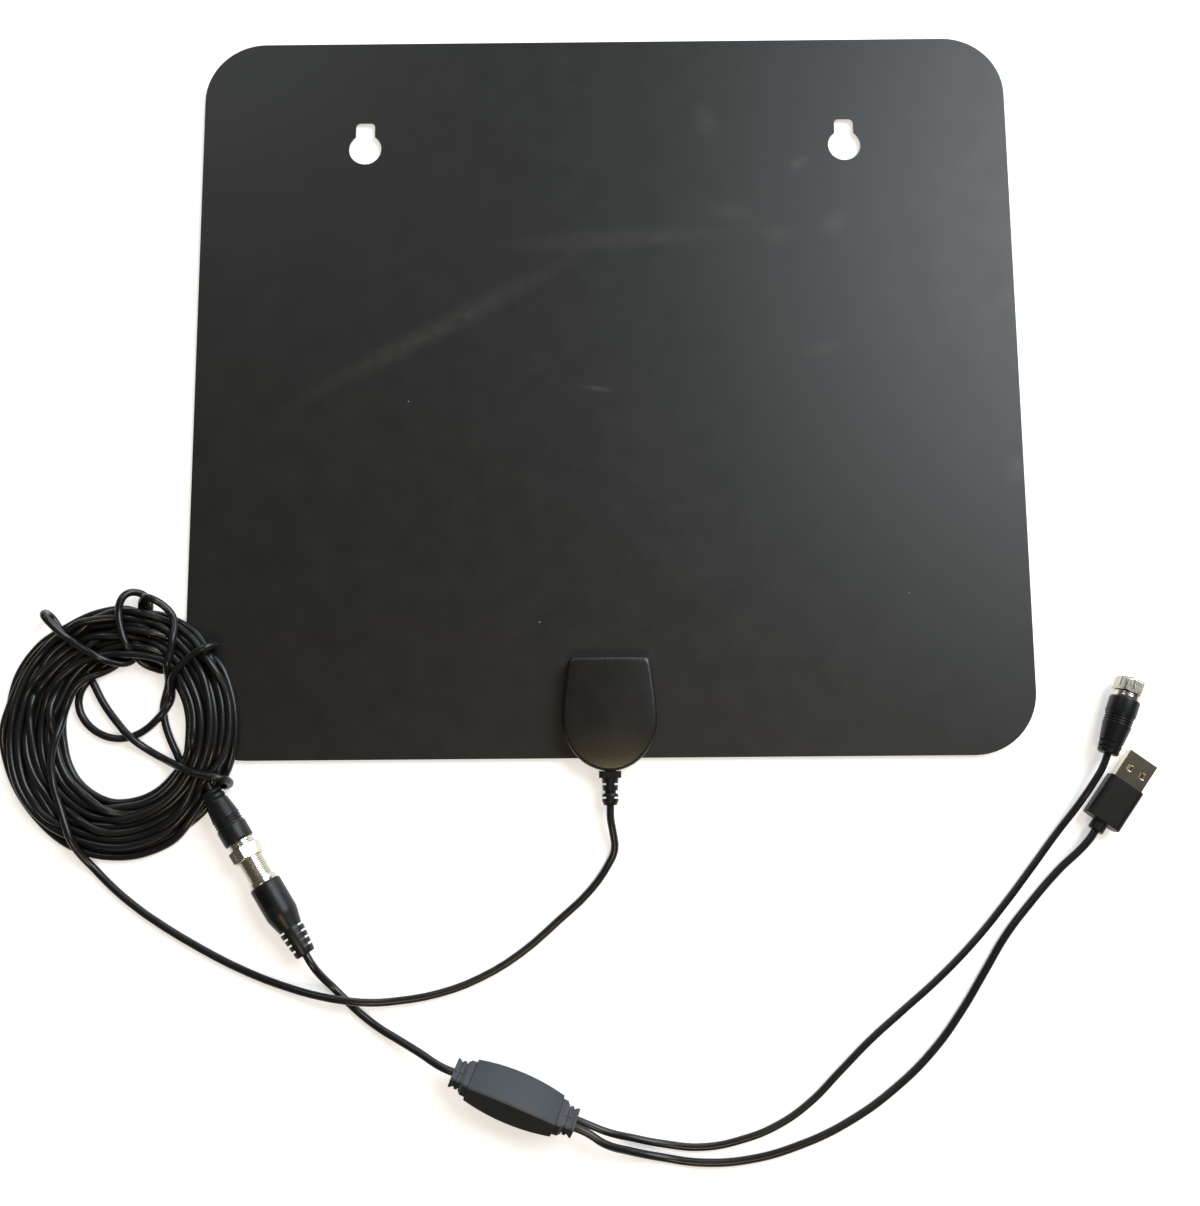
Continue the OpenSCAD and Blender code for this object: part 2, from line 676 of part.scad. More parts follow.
module housing_back_plate() {
    outline = shell_outline();
    wall = shell_outline(shell_wall);
    color([0.05, 0.05, 0.055]) {
        difference() {
            translate([0, shell_wide_y, 0]) linear_extrude(plate_t) polygon(outline);
            translate([0, 0, plate_t - post_tip - seat]) post_places()
                cylinder(d = post_tip_d + 2 * seat, h = plate_t);
            translate([0, 0, plate_t - contact_head_t - seat]) contact_places()
                cylinder(d = contact_head_d + 2 * head_gap, h = plate_t);
        }
        // The saddle that closes the housing's wall under the cable
        difference() {
            intersection() {
                translate([0, shell_wide_y, plate_t - eps]) linear_extrude(relief_z - plate_t)
                    difference() {
                        polygon(outline);
                        polygon(wall);
                    }
                translate([-relief_neck_d / 2 + seat, shell_end_y - 1, 0])
                    cube([relief_neck_d - 2 * seat, shell_wall + 2, relief_z]);
            }
            translate([0, shell_end_y, relief_z]) rotate([90, 0, 0])
                cylinder(d = relief_neck_d, h = 4 * shell_wall, center = true);
        }
    }
}

module matching_board() {
    color([0.1, 0.35, 0.18]) translate([0, 0, board_z]) difference() {
        translate([-board_w / 2, shell_flat_y - board_drop - board_l, 0]) cube([board_w, board_l, board_t]);
        translate([0, 0, -1]) contact_places() cylinder(d = contact_d, h = board_t + 2);
        translate([0, 0, -1]) post_places() cylinder(d = post_d + 2 * seat, h = board_t + 2);
    }
}

module transformer_core() {
    color([0.18, 0.17, 0.17])
        translate([0, shell_flat_y - post_drop, board_z + board_t]) difference() {
            translate([-core_w / 2, -core_l / 2, 0]) cube([core_w, core_l, core_h]);
            for (x = [-1, 1]) translate([x * core_w / 4, 0, core_h / 2]) rotate([90, 0, 0])
                cylinder(d = core_hole_d, h = core_l + 2, center = true);
        }
}

module contact_pins() {
    color([0.78, 0.62, 0.35]) contact_places() {
        translate([0, 0, panel_z - contact_head_t]) cylinder(d = contact_head_d, h = contact_head_t);
        translate([0, 0, panel_z]) cylinder(d = contact_d, h = board_z + board_t + contact_tip - panel_z);
        translate([0, 0, panel_top_z]) cylinder(d = contact_head_d, h = contact_collar);
    }
}

// The cable's bared end, which is soldered to the board's edge
module feed_core() {
    start = shell_end_y + flange_in + relief_flange_l;
    color([0.9, 0.9, 0.86]) translate([0, start, relief_z]) rotate([-90, 0, 0])
        cylinder(d = core_d, h = shell_flat_y - board_drop - board_l - start);
}

module cable_strain_relief() {
    first = relief_collar_l;
    waist = first + relief_first_l;
    last = waist + relief_waist_l;
    end = last + relief_last_l;
    r = relief_d / 2;
    waist_r = relief_waist_d / 2;
    color([0.07, 0.07, 0.075]) translate([0, shell_end_y, relief_z]) rotate([90, 0, 0]) difference() {
        union() {
            translate([0, 0, -flange_in - relief_flange_l]) linear_extrude(relief_flange_l)
                square([relief_flange_w, relief_flange_h], center = true);
            translate([0, 0, -flange_in]) cylinder(d = relief_neck_d, h = flange_in);
            linear_extrude(relief_collar_l) rounded(relief_collar_w, relief_collar_h, relief_collar_r);
            rotate_extrude() polygon([[0, first], [r, first], [r - relief_taper, waist],
                [waist_r, waist], [waist_r, last], [r - relief_taper, last],
                [r, last + relief_slot_in / 2], [r, end - relief_end_l],
                [relief_end_d / 2, end], [0, end]]);
        }
        for (x = [-r, r], z = [first + relief_first_l / 2, last + relief_slot_in])
            translate([x, 0, z]) cube([r, relief_d, slot_w], center = true);
    }
}

module antenna_cable() {
    color([0.06, 0.06, 0.065]) at_exit() tube(lead_path, cable_d);
}

module cable_coil() {
    place = coil_at;
    corner_x = -panel_w / 2 - coil_gap;
    color([0.06, 0.06, 0.065]) at_exit() difference() {
        translate([place.x, place.y, 0]) rotate_extrude($fn = 64)
            translate([coil_r - coil_w / 2, coil_h / 2]) rounded(coil_w, coil_h, coil_edge);
        translate([corner_x, panel_bottom_y - exit_y - coil_gap, -1])
            cube([panel_w, panel_h, panel_top_z + coil_gap + 1]);
        translate([plug_at.x, plug_at.y, plug_z]) rotate([0, 90, plug_turn]) translate([0, 0, -tail_l])
            cylinder(d = boot_rear_d + 2 * coil_gap, h = tail_l + boot_l);
    }
}

module cable_tail() {
    color([0.06, 0.06, 0.065]) laid(plug_at, plug_turn, plug_z) translate([0, 0, -tail_l])
        cylinder(d = cable_d, h = tail_l);
}

// A plug's moulded boot, upright, with the cable's end at the bottom
module boot() {
    rings = boot_slot_l + boot_taper_l;
    front = rings + boot_rings_l;
    difference() {
        rotate_extrude() polygon(concat(
            [[0, 0], [boot_end_d / 2 - boot_edge, 0], [boot_end_d / 2, boot_edge],
                [boot_rear_d / 2, boot_slot_l], [boot_mid_d / 2, rings]],
            grooves(boot_mid_d / 2, rings + ring_groove_w, boot_rings, ring_pitch, ring_groove_w,
                ring_groove),
            [[boot_mid_d / 2, front], [boot_d / 2, front + boot_edge], [boot_d / 2, boot_l - boot_edge],
                [boot_d / 2 - boot_edge, boot_l], [stem_d / 2 + seat, boot_l],
                [stem_d / 2 + seat, boot_l - stem_l], [0, boot_l - stem_l]]));
        rotate([0, 0, boot_slot_turn]) for (i = [0:1], y = [-1, 1])
            translate([0, y * (boot_web + boot_rear_d) / 2, boot_slot_in + boot_slot_pitch * i])
                cube([boot_rear_d, boot_rear_d, boot_slot_w], center = true);
    }
}

// A plug's metal body: collar, neck for the nut, flange that holds it, and stem in the boot
module collar() {
    rotate_extrude() polygon([[insulator_d / 2 + seat, boot_l - stem_l], [stem_d / 2, boot_l - stem_l],
        [stem_d / 2, boot_l], [collar_d / 2, boot_l], [collar_d / 2, collar_end - collar_chamfer],
        [collar_d / 2 - collar_chamfer, collar_end], [neck_d / 2, collar_end], [neck_d / 2, flange_start],
        [flange_d / 2, flange_start], [flange_d / 2, flange_end], [insulator_d / 2 + seat, flange_end]]);
}

module insulator() {
    translate([0, 0, insulator_start]) difference() {
        cylinder(d = insulator_d, h = flange_end - insulator_start);
        translate([0, 0, -1]) cylinder(d = pin_d, h = flange_end - insulator_start + 2);
    }
}

module pin() {
    translate([0, 0, insulator_start]) cylinder(d = pin_d, h = pin_end - insulator_start - pin_d / 2);
    translate([0, 0, pin_end - pin_d / 2]) cylinder(d1 = pin_d, d2 = pin_d / 2, h = pin_d / 2);
}

// A captive hexagonal nut, upright, with its open end at the top
module nut() {
    corner_r = nut_flats / 2 / cos(30);
    translate([0, 0, nut_start]) difference() {
        intersection() {
            cylinder(r = corner_r, h = nut_l, $fn = 6);
            rotate_extrude() polygon([[0, 0], [corner_r - nut_rear_chamfer, 0],
                [corner_r, nut_rear_chamfer / 2], [corner_r, nut_l - nut_chamfer * 0.8],
                [corner_r - nut_chamfer, nut_l], [0, nut_l]]);
        }
        translate([0, 0, -1]) cylinder(d = neck_d + 2 * neck_gap, h = nut_l + 2);
        translate([0, 0, nut_wall]) cylinder(d = nut_bore_d, h = nut_l);
    }
}

module plug_boot() {
    color([0.07, 0.075, 0.08]) laid(plug_at, plug_turn, plug_z) boot();
}

module plug_collar() {
    color([0.78, 0.76, 0.72]) laid(plug_at, plug_turn, plug_z) collar();
}

module plug_insulator() {
    color([0.92, 0.92, 0.9]) laid(plug_at, plug_turn, plug_z) insulator();
}

module plug_pin() {
    color([0.8, 0.55, 0.35]) laid(plug_at, plug_turn, plug_z) pin();
}

module coupling_nut() {
    color([0.8, 0.78, 0.74]) laid(plug_at, plug_turn, plug_z) nut();
}

module socket_barrel() {
    stem_end = shoulder_end + stem_l;
    color([0.78, 0.76, 0.72]) laid(plug_at, plug_turn, plug_z) rotate_extrude() polygon([
        [barrel_bore_d / 2, barrel_start], [thread_d / 2 - collar_chamfer, barrel_start],
        [thread_d / 2, barrel_start + collar_chamfer], [thread_d / 2, barrel_end],
        [shoulder_d / 2, barrel_end], [shoulder_d / 2, shoulder_end], [stem_d / 2, shoulder_end],
        [stem_d / 2, stem_end], [barrel_bore_d / 2, stem_end]]);
}

module socket_insulator() {
    stem_end = shoulder_end + stem_l;
    color([0.92, 0.92, 0.9]) laid(plug_at, plug_turn, plug_z) difference() {
        translate([0, 0, barrel_start]) cylinder(d = barrel_bore_d - 2 * seat, h = stem_end - barrel_start);
        translate([0, 0, barrel_start - 1]) cylinder(d = contact_bore_d, h = 2);
        translate([0, 0, contact_start]) cylinder(d = contact_tube_d, h = stem_end - contact_start + 1);
    }
}

module socket_contact() {
    stem_end = shoulder_end + stem_l;
    color([0.8, 0.64, 0.35]) laid(plug_at, plug_turn, plug_z) difference() {
        translate([0, 0, contact_start]) cylinder(d = contact_tube_d, h = stem_end - contact_start);
        translate([0, 0, contact_start - 1]) cylinder(d = contact_bore_d, h = stem_end - contact_start - 2);
    }
}

module socket_boot() {
    stem_end = shoulder_end + stem_l;
    slot_pitch = (jack_relief_l - slot_w) / jack_slots;
    color([0.07, 0.075, 0.08]) laid(plug_at, plug_turn, plug_z) difference() {
        rotate_extrude() polygon([[0, stem_end], [stem_d / 2 + seat, stem_end],
            [stem_d / 2 + seat, shoulder_end], [jack_boot_d / 2 - boot_edge, shoulder_end],
            [jack_boot_d / 2, shoulder_end + boot_edge], [jack_boot_d / 2, cone_start],
            [jack_cone_d / 2, cone_end], [jack_relief_d / 2, cone_end + slot_w],
            [jack_relief_end_d / 2, jack_end], [0, jack_end]]);
        // The slots of the strain relief, in pairs that leave a web between them
        for (i = [0:jack_slots - 1], y = [-1, 1])
            translate([0, y * (jack_web + jack_boot_d) / 2, cone_end + slot_w / 2 + i * slot_pitch])
                cube([jack_boot_d, jack_boot_d, slot_w], center = true);
        // The patch of grip grooves on top
        rotate([0, 0, grip_turn]) for (i = [0:grip_grooves - 1])
            translate([jack_boot_d / 2, 0, shoulder_end + grip_in + i * grip_pitch])
                cube([2 * grip_depth, grip_across, grip_w], center = true);
    }
}

module pigtail_cable() {
    color([0.06, 0.06, 0.065]) at_exit() tube(pigtail_path, cable_d);
}

// The amplifier lies along X about its middle before it is rolled and turned
module in_amplifier() {
    at_exit() translate([amp_at.x, amp_at.y, amp_z]) rotate([0, 0, amp_turn]) rotate([-amp_roll, 0, 0])
        children();
}

// Stations along one collar, from the body's end: how far out, half the width, half the thickness
collar_steps = let (w = amp_end_w / 2, t = amp_end_t / 2) [
    [0.03, w - 0.8, t - 0.7], [0.3, w - 0.9, t - 0.8], [0.45, w - 1.8, t - 1.5], [0.46, w - 2.2, t - 1.9],
    [0.5, w - 2.2, t - 1.9], [0.51, w - 1.75, t - 1.5], [0.68, w - 1.75, t - 1.5], [0.7, w - 2.2, t - 1.9],
    [0.78, w - 2.2, t - 1.9], [0.9, w - 1.7, t - 1.4], [1, w - 1.7, t - 1.4]];

// Half the amplifier's case, from the parting line to one face
module half_case() {
    body = [for (i = [0:amp_rings]) let (u = 2 * i / amp_rings - 1, round_off = 1 - u * u)
        [u * amp_l / 2, amp_end_w / 2 + amp_side_bulge * round_off,
            amp_end_t / 2 + amp_face_bulge * round_off]];
    right = [for (s = collar_steps) [amp_l / 2 + s[0] * amp_collar_l, s[1], s[2]]];
    left = [for (i = [len(right) - 1:-1:0]) [-right[i][0], right[i][1], right[i][2]]];
    loft([for (s = concat(left, body, right)) let (x = s[0], w = s[1], t = s[2], c = amp_edge)
        [[x, -w, 0], [x, w, 0], [x, w, t - c], [x, w - c, t], [x, -w + c, t], [x, -w, t - c]]]);
}

// The hollow in one half, with the pocket that holds half the board's thickness
module half_hollow() {
    hollow_w = amp_board_w - 2 * amp_ledge;
    hollow_l = amp_board_l - 2 * amp_ledge;
    translate([-hollow_l / 2, -hollow_w / 2, -1])
        cube([hollow_l, hollow_w, 1 + amp_end_t / 2 - amp_wall]);
    translate([-amp_board_l / 2, -amp_board_w / 2, -1]) cube([amp_board_l, amp_board_w, 1 + amp_board_t / 2]);
}

module amplifier_top_shell() {
    color([0.09, 0.1, 0.11]) in_amplifier() difference() {
        half_case();
        half_hollow();
    }
}

module amplifier_bottom_shell() {
    color([0.09, 0.1, 0.11]) in_amplifier() mirror([0, 0, 1]) difference() {
        half_case();
        half_hollow();
    }
}

module amplifier_board() {
    color([0.1, 0.35, 0.18]) in_amplifier()
        cube([amp_board_l, amp_board_w, amp_board_t], center = true);
}

module amplifier_can() {
    color([0.75, 0.76, 0.78]) in_amplifier() translate([-can_l / 2, -can_w / 2, amp_board_t / 2])
        cube([can_l, can_w, can_h]);
}

module output_cable() {
    color([0.06, 0.06, 0.065]) at_exit() tube(output_path, output_d);
}

module output_boot() {
    color([0.07, 0.075, 0.08]) laid(output_at, output_turn, plug_z) boot();
}

module output_collar() {
    color([0.78, 0.76, 0.72]) laid(output_at, output_turn, plug_z) collar();
}

module output_insulator() {
    color([0.92, 0.92, 0.9]) laid(output_at, output_turn, plug_z) insulator();
}

module output_pin() {
    color([0.8, 0.55, 0.35]) laid(output_at, output_turn, plug_z) pin();
}

module output_nut() {
    color([0.8, 0.78, 0.74]) laid(output_at, output_turn, plug_z) nut();
}

module power_cable() {
    color([0.06, 0.06, 0.065]) at_exit() tube(power_path, cable_d);
}

// Lays the power plug on the table, upright before that, with its wide side along Y
module in_power_plug() {
    laid(usb_at, usb_turn, usb_z) children();
}

module power_plug_grip() {
    color([0.09, 0.095, 0.1]) in_power_plug() difference() {
        union() {
            cylinder(d = usb_sleeve_d, h = usb_sleeve_l);
            translate([0, 0, usb_sleeve_l]) linear_extrude(grip_l)
                rounded(usb_grip_t, usb_grip_w, usb_grip_r);
        }
        translate([-usb_t / 2, -usb_w / 2, usb_boot_l - usb_root_l]) cube([usb_t, usb_w, usb_root_l + 1]);
    }
}

module power_plug_shell() {
    start = usb_boot_l - usb_root_l;
    end = usb_boot_l + usb_l;
    color([0.8, 0.79, 0.77]) in_power_plug() difference() {
        translate([-usb_t / 2, -usb_w / 2, start]) cube([usb_t, usb_w, end - start]);
        translate([-usb_t / 2 + usb_wall, -usb_w / 2 + usb_wall, start - 1])
            cube([usb_t - 2 * usb_wall, usb_w - 2 * usb_wall, end - start + 2]);
        for (y = [-1, 1]) translate([0, y * usb_window_pitch / 2, end - usb_window_in])
            cube([2 * usb_t, usb_window, usb_window], center = true);
    }
}

module power_plug_tongue() {
    start = usb_boot_l - usb_root_l;
    color([0.93, 0.93, 0.92]) in_power_plug()
        translate([usb_t / 2 - usb_wall - tongue_t, -usb_w / 2 + usb_wall, start])
            cube([tongue_t, usb_w - 2 * usb_wall, usb_l + usb_root_l - tongue_in]);
}

module power_plug_contacts() {
    mouth = usb_boot_l + usb_l;
    color([0.85, 0.7, 0.35]) in_power_plug()
        for (strip = [[strip_outer, 0], [strip_inner, strip_short]], side = [-1, 1])
            translate([usb_t / 2 - usb_wall - tongue_t - strip_t, (side * strip[0] - strip_w) / 2,
                mouth - strip_in - strip_l]) cube([strip_t, strip_w, strip_l - strip[1]]);
}

panel_front_film();
panel_back_film();
antenna_foil();
housing_front_shell();
housing_back_plate();
matching_board();
transformer_core();
contact_pins();
feed_core();
cable_strain_relief();
antenna_cable();
cable_coil();
cable_tail();
plug_boot();
plug_collar();
plug_insulator();
plug_pin();
coupling_nut();
socket_barrel();
socket_insulator();
socket_contact();
socket_boot();
pigtail_cable();
amplifier_top_shell();
amplifier_bottom_shell();
amplifier_board();
amplifier_can();
output_cable();
output_boot();
output_collar();
output_insulator();
output_pin();
output_nut();
power_cable();
power_plug_grip();
power_plug_shell();
power_plug_tongue();
power_plug_contacts();
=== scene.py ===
import math

import bmesh
import bpy
import numpy as np
from mathutils import Matrix, Vector


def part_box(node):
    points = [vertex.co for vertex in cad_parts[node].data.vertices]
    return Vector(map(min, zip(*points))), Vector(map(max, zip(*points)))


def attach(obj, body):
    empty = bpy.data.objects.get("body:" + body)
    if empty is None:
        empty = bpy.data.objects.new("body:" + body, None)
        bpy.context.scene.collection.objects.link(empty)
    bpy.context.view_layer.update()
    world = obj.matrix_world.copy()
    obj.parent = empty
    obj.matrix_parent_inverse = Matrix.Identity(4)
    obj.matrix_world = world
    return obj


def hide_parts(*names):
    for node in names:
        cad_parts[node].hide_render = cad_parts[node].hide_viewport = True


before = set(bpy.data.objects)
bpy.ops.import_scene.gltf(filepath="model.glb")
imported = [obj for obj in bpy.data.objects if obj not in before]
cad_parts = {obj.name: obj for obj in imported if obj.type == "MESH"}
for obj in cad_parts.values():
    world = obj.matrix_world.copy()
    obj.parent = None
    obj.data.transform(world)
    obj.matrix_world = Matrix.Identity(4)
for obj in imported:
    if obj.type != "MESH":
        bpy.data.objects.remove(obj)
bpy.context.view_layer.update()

# Camera. The photograph was taken by hand from above, a little below the panel's middle.
# Its place and turn come from the panel's four straight edges.
photo_w, photo_h = 1200, 1206
focal_px = 1200
camera_data = bpy.data.cameras.new("camera")
camera_data.sensor_width = 36.0
camera_data.lens = focal_px / max(photo_w, photo_h) * camera_data.sensor_width
camera = bpy.data.objects.new("camera", camera_data)
camera.location = (-0.0020, -0.1412, 0.4743)
camera.rotation_euler = (math.radians(7.39), math.radians(0.23), math.radians(-0.45))
bpy.context.scene.collection.objects.link(camera)
bpy.context.scene.camera = camera
bpy.context.scene.view_settings.view_transform = "Standard"


# Antenna cable. A thin coaxial cable in a satin black jacket leaves the housing, swings round to
# the left, climbs over its own coil and goes on as the coil's turns. The coil is held together by
# its own last stretch, which is wrapped round the bundle, and that stretch ends in the inline plug.
def smooth_line(points, step, rise):
    """Points about a step apart on a smooth curve; heights count rise times towards a step."""
    p = np.array(points, float)
    t = np.concatenate([[0], np.cumsum(np.linalg.norm(np.diff(p * (1, 1, rise), axis=0), axis=1))])
    slope = np.gradient(p, t, axis=0)
    at = np.linspace(0, t[-1], round(t[-1] / step) + 1)
    i = np.clip(np.searchsorted(t, at) - 1, 0, len(t) - 2)
    h = (t[i + 1] - t[i])[:, None]
    u = (at - t[i])[:, None] / h
    return ((2 * u**3 - 3 * u**2 + 1) * p[i] + (u**3 - 2 * u**2 + u) * h * slope[i]
            + (3 * u**2 - 2 * u**3) * p[i + 1] + (u**3 - u**2) * h * slope[i + 1])


exit_at = Vector((0.0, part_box("cable_strain_relief")[0].y, 0.0044))
jacket_d = 0.003
straight = 0.005
lead_route = [  # all heights in the routes are those before the cable settles
    (0.001, -0.011, 0.0036), (0.0015, -0.017, 0.0022), (-0.0005, -0.022, 0.0015),
    (-0.008, -0.0325, 0.0015), (-0.020, -0.0435, 0.0015), (-0.035, -0.056, 0.0015),
    (-0.0505, -0.065, 0.0015), (-0.066, -0.0705, 0.0015), (-0.082, -0.073, 0.0026),
    (-0.092, -0.0732, 0.0044), (-0.1015, -0.0722, 0.0052), (-0.111, -0.0707, 0.0044),
    (-0.121, -0.0685, 0.0026), (-0.1385, -0.0625, 0.0015), (-0.158, -0.053, 0.0015),
    (-0.1775, -0.0415, 0.0015)]
low, high, lead_high = 0.0015, 0.048, 0.044
over_coil = [
    (-0.192, -0.0305, low), (-0.200, -0.0225, 0.010), (-0.205, -0.0155, 0.032),
    (-0.209, -0.007, lead_high), (-0.213, 0.003, lead_high), (-0.216, 0.013, lead_high),
    (-0.217, 0.023, lead_high), (-0.216, 0.033, lead_high), (-0.213, 0.0415, lead_high),
    (-0.2088, 0.0485, lead_high), (-0.2048, 0.0530, 0.028), (-0.2008, 0.0570, 0.012),
    (-0.1970, 0.0590, 0.006)]
coil_turns = 16.3
start_angle = math.radians(100)
stack_from, stack_step = 0.0050, 0.0022
inner_middle, inner_r = np.array((-0.1884, 0.0300)), np.array((0.0278, 0.0306))
outer_middle, outer_r = np.array((-0.1926, 0.0322)), np.array((0.0431, 0.0460))
loose_turn, loose_out, loose_span = 8.49, 0.30, 0.11
wraps = [
    (-0.1602, 0.0190, 0.012), (-0.1570, 0.0130, low), (-0.1520, 0.0090, low),
    (-0.1486, 0.0092, 0.003), (-0.1470, 0.0104, high * 0.5), (-0.1494, 0.0120, high),
    (-0.1561, 0.0124, high), (-0.1662, 0.0159, high), (-0.1792, 0.0214, 0.020),
    (-0.1892, 0.0287, 0.010), (-0.1977, 0.0384, 0.004), (-0.2054, 0.0513, low),
    (-0.2100, 0.0590, low), (-0.2160, 0.0680, low), (-0.2208, 0.0748, 0.002),
    (-0.2224, 0.0772, high * 0.5), (-0.2206, 0.0752, high), (-0.2157, 0.0697, high),
    (-0.2080, 0.0634, high), (-0.2009, 0.0598, high), (-0.1938, 0.0574, 0.020),
    (-0.1880, 0.0590, 0.004), (-0.1850, 0.0650, low), (-0.1842, 0.0730, low),
    (-0.1840, 0.0795, 0.003), (-0.1853, 0.0838, high * 0.4), (-0.1889, 0.0855, high * 0.8),
    (-0.1922, 0.0828, high), (-0.1928, 0.0777, high), (-0.1908, 0.0687, high),
    (-0.1870, 0.0616, 0.030), (-0.1830, 0.0575, 0.006), (-0.1760, 0.0555, low),
    (-0.1680, 0.0575, low), (-0.1600, 0.0610, low), (-0.1545, 0.0628, 0.002),
    (-0.1530, 0.0628, high * 0.5), (-0.1549, 0.0619, high), (-0.1599, 0.0604, high),
    (-0.1662, 0.0546, high), (-0.1711, 0.0492, 0.030), (-0.1725, 0.0420, 0.012),
    (-0.1762, 0.0352, 0.010), (-0.1841, 0.0287, 0.006), (-0.1926, 0.0265, 0.004),
    (-0.2001, 0.0285, 0.004), (-0.2074, 0.0347, 0.005), (-0.2102, 0.0437, 0.006),
    (-0.2073, 0.0499, 0.006), (-0.2000, 0.0560, 0.004), (-0.1930, 0.0640, low),
    (-0.1870, 0.0720, low), (-0.1850, 0.0785, low), (-0.1835, 0.0820, high * 0.5),
    (-0.1800, 0.0825, high), (-0.1770, 0.0807, high), (-0.1718, 0.0767, high),
    (-0.1700, 0.0704, high), (-0.1704, 0.0603, high), (-0.1712, 0.0499, 0.030),
    (-0.1745, 0.0420, 0.012), (-0.1748, 0.0330, 0.006), (-0.1715, 0.0250, 0.003),
    (-0.1670, 0.0190, 0.002), (-0.1630, 0.0150, 0.002), (-0.1590, 0.0120, 0.0040)]
plug_rear = np.array((-0.1543, 0.0066, 0.00655))
plug_turn = math.radians(-58)
plug_way = np.array((math.cos(plug_turn), math.sin(plug_turn), 0.0))
boot_clear = 0.0047
in_boot = 0.004
panel_corner = (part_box("panel_front_film")[0].x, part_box("panel_front_film")[0].y - exit_at.y)
panel_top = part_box("panel_front_film")[1].z
panel_corner_r = 0.025


def coil_turn(share):
    """A point of the coil's turns, which sweep in and out across the bundle and wander as they go."""
    turn = share * coil_turns
    angle = start_angle - 2 * math.pi * turn
    across = (0.5 - 0.42 * math.cos(6 * math.pi * share) + 0.15 * math.sin(1.66 * math.pi * turn + 0.7)
              + 0.10 * math.sin(2.42 * math.pi * turn + 2.9))
    across = min(max(across, 0), 1) + loose_out * math.exp(-((turn - loose_turn) / loose_span) ** 2)
    middle = inner_middle + across * (outer_middle - inner_middle)
    r = inner_r + across * (outer_r - inner_r)
    return (middle[0] + r[0] * math.cos(angle), middle[1] + r[1] * math.sin(angle),
            stack_from + stack_step * turn)


def part_overlaps(place, pairs, free, floor):
    """Pushes touching stretches of the cable apart, and the cable off the plug's boot and the table."""
    sideways, shared, boot_start, last_free = 0.45, 0.6, 0.0015, 12
    a, b = pairs
    way = place[b] - place[a]
    apart = np.maximum(np.linalg.norm(way, axis=1), 1e-9)
    push = np.maximum(jacket_d - apart, 0)[:, None] * way / apart[:, None] / 2
    push[:, :2] *= sideways
    total, hits = np.zeros_like(place), np.zeros(len(place))
    np.add.at(total, a, -push)
    np.add.at(total, b, push)
    np.add.at(hits, a, apart < jacket_d)
    np.add.at(hits, b, apart < jacket_d)
    total /= np.maximum(hits * shared, 1)[:, None]
    place[free] += total[free]
    along = (place - plug_rear) @ plug_way
    off_axis = place - plug_rear - along[:, None] * plug_way
    away = np.maximum(np.linalg.norm(off_axis, axis=1), 1e-9)
    near_boot = free & (along > boot_start) & (np.arange(len(place)) < len(place) - last_free)
    lift = np.where(near_boot, np.maximum(boot_clear + jacket_d / 2 - away, 0), 0)
    place += lift[:, None] * off_axis / away[:, None]
    place[free, 2] = np.maximum(place[free, 2], floor[free])


def settle(target, held, fall_rounds, ease_rounds):
    """Lets the cable sink onto the table, the panel and itself, then eases its tight bends."""
    sink_step, near_reach, regroup_every, skip = 0.00017, 2.2 * jacket_d, 6, 5
    place = target.copy()
    free = ~held
    on_panel = (target[:, 0] > panel_corner[0]) & (target[:, 1] > panel_corner[1])
    corner = np.array(panel_corner) + panel_corner_r
    off_corner = np.linalg.norm(target[:, :2] - corner, axis=1) > panel_corner_r
    cut_off = (target[:, :2] < corner).all(1) & off_corner
    floor = np.where(on_panel & ~cut_off, panel_top, 0.0) + jacket_d / 2
    for n in range(fall_rounds + ease_rounds):
        if n % regroup_every == 0:
            near = np.linalg.norm(place[:, None, :] - place[None, :, :], axis=2) < near_reach
            a, b = np.nonzero(near)
            pairs = a[b - a > skip], b[b - a > skip]
        if n < fall_rounds:
            place[free, 2] -= sink_step
        part_overlaps(place, pairs, free, floor)
        part_overlaps(place, pairs, free, floor)
        if n < fall_rounds:
            drift = place - target
            drift[:, :2] *= 0.97
            drift[1:-1] = drift[1:-1] / 2 + (drift[:-2] + 2 * drift[1:-1] + drift[2:]) / 8
            place[free] = (target + drift)[free]
        else:
            even = place.copy()
            even[1:-1] = 0.7 * place[1:-1] + 0.15 * (place[:-2] + place[2:])
            place[free] = even[free]
        place[free, 2] = np.maximum(place[free, 2], floor[free])
    return place


def cable(name, points, diameter, per_span):
    """A round cable through its points, as one smooth open spline."""
    data = bpy.data.curves.new(name, "CURVE")
    data.dimensions = "3D"
    data.bevel_depth = diameter / 2
    data.bevel_resolution = 4
    data.resolution_u = per_span
    spline = data.splines.new("BEZIER")
    spline.bezier_points.add(len(points) - 1)
    for knot, p in zip(spline.bezier_points, points):
        knot.co = Vector((p[0], p[1] + exit_at.y, p[2]))
        knot.handle_left_type = knot.handle_right_type = "AUTO"
    piece = bpy.data.objects.new(name, data)
    bpy.context.scene.collection.objects.link(piece)
    return piece


point_step, rise_share, fall_rounds, quick_rounds, ease_rounds = 0.0025, 0.28, 300, 40, 12
lead = [(0, 0, exit_at.z), (0, -straight, exit_at.z)] + lead_route
turns = [coil_turn(s) for s in np.linspace(0.008, 1, int(coil_turns * 24))]
tail = [tuple(plug_rear - in_boot * plug_way), tuple(plug_rear)]
line = smooth_line(lead + over_coil + turns + wraps + tail, point_step, rise_share)
lead_count = int(np.argmin(np.linalg.norm(line - np.array(lead_route[-1]), axis=1)))
held = np.zeros(len(line), bool)
held[:lead_count] = True
held[-3:] = True
settled = settle(line, held, fall_rounds, ease_rounds)
antenna_lead = cable("antenna_lead", lead[:-1] + [tuple(p) for p in settled[lead_count:-2:2]] + [tail[-1]],
                     jacket_d, 3)


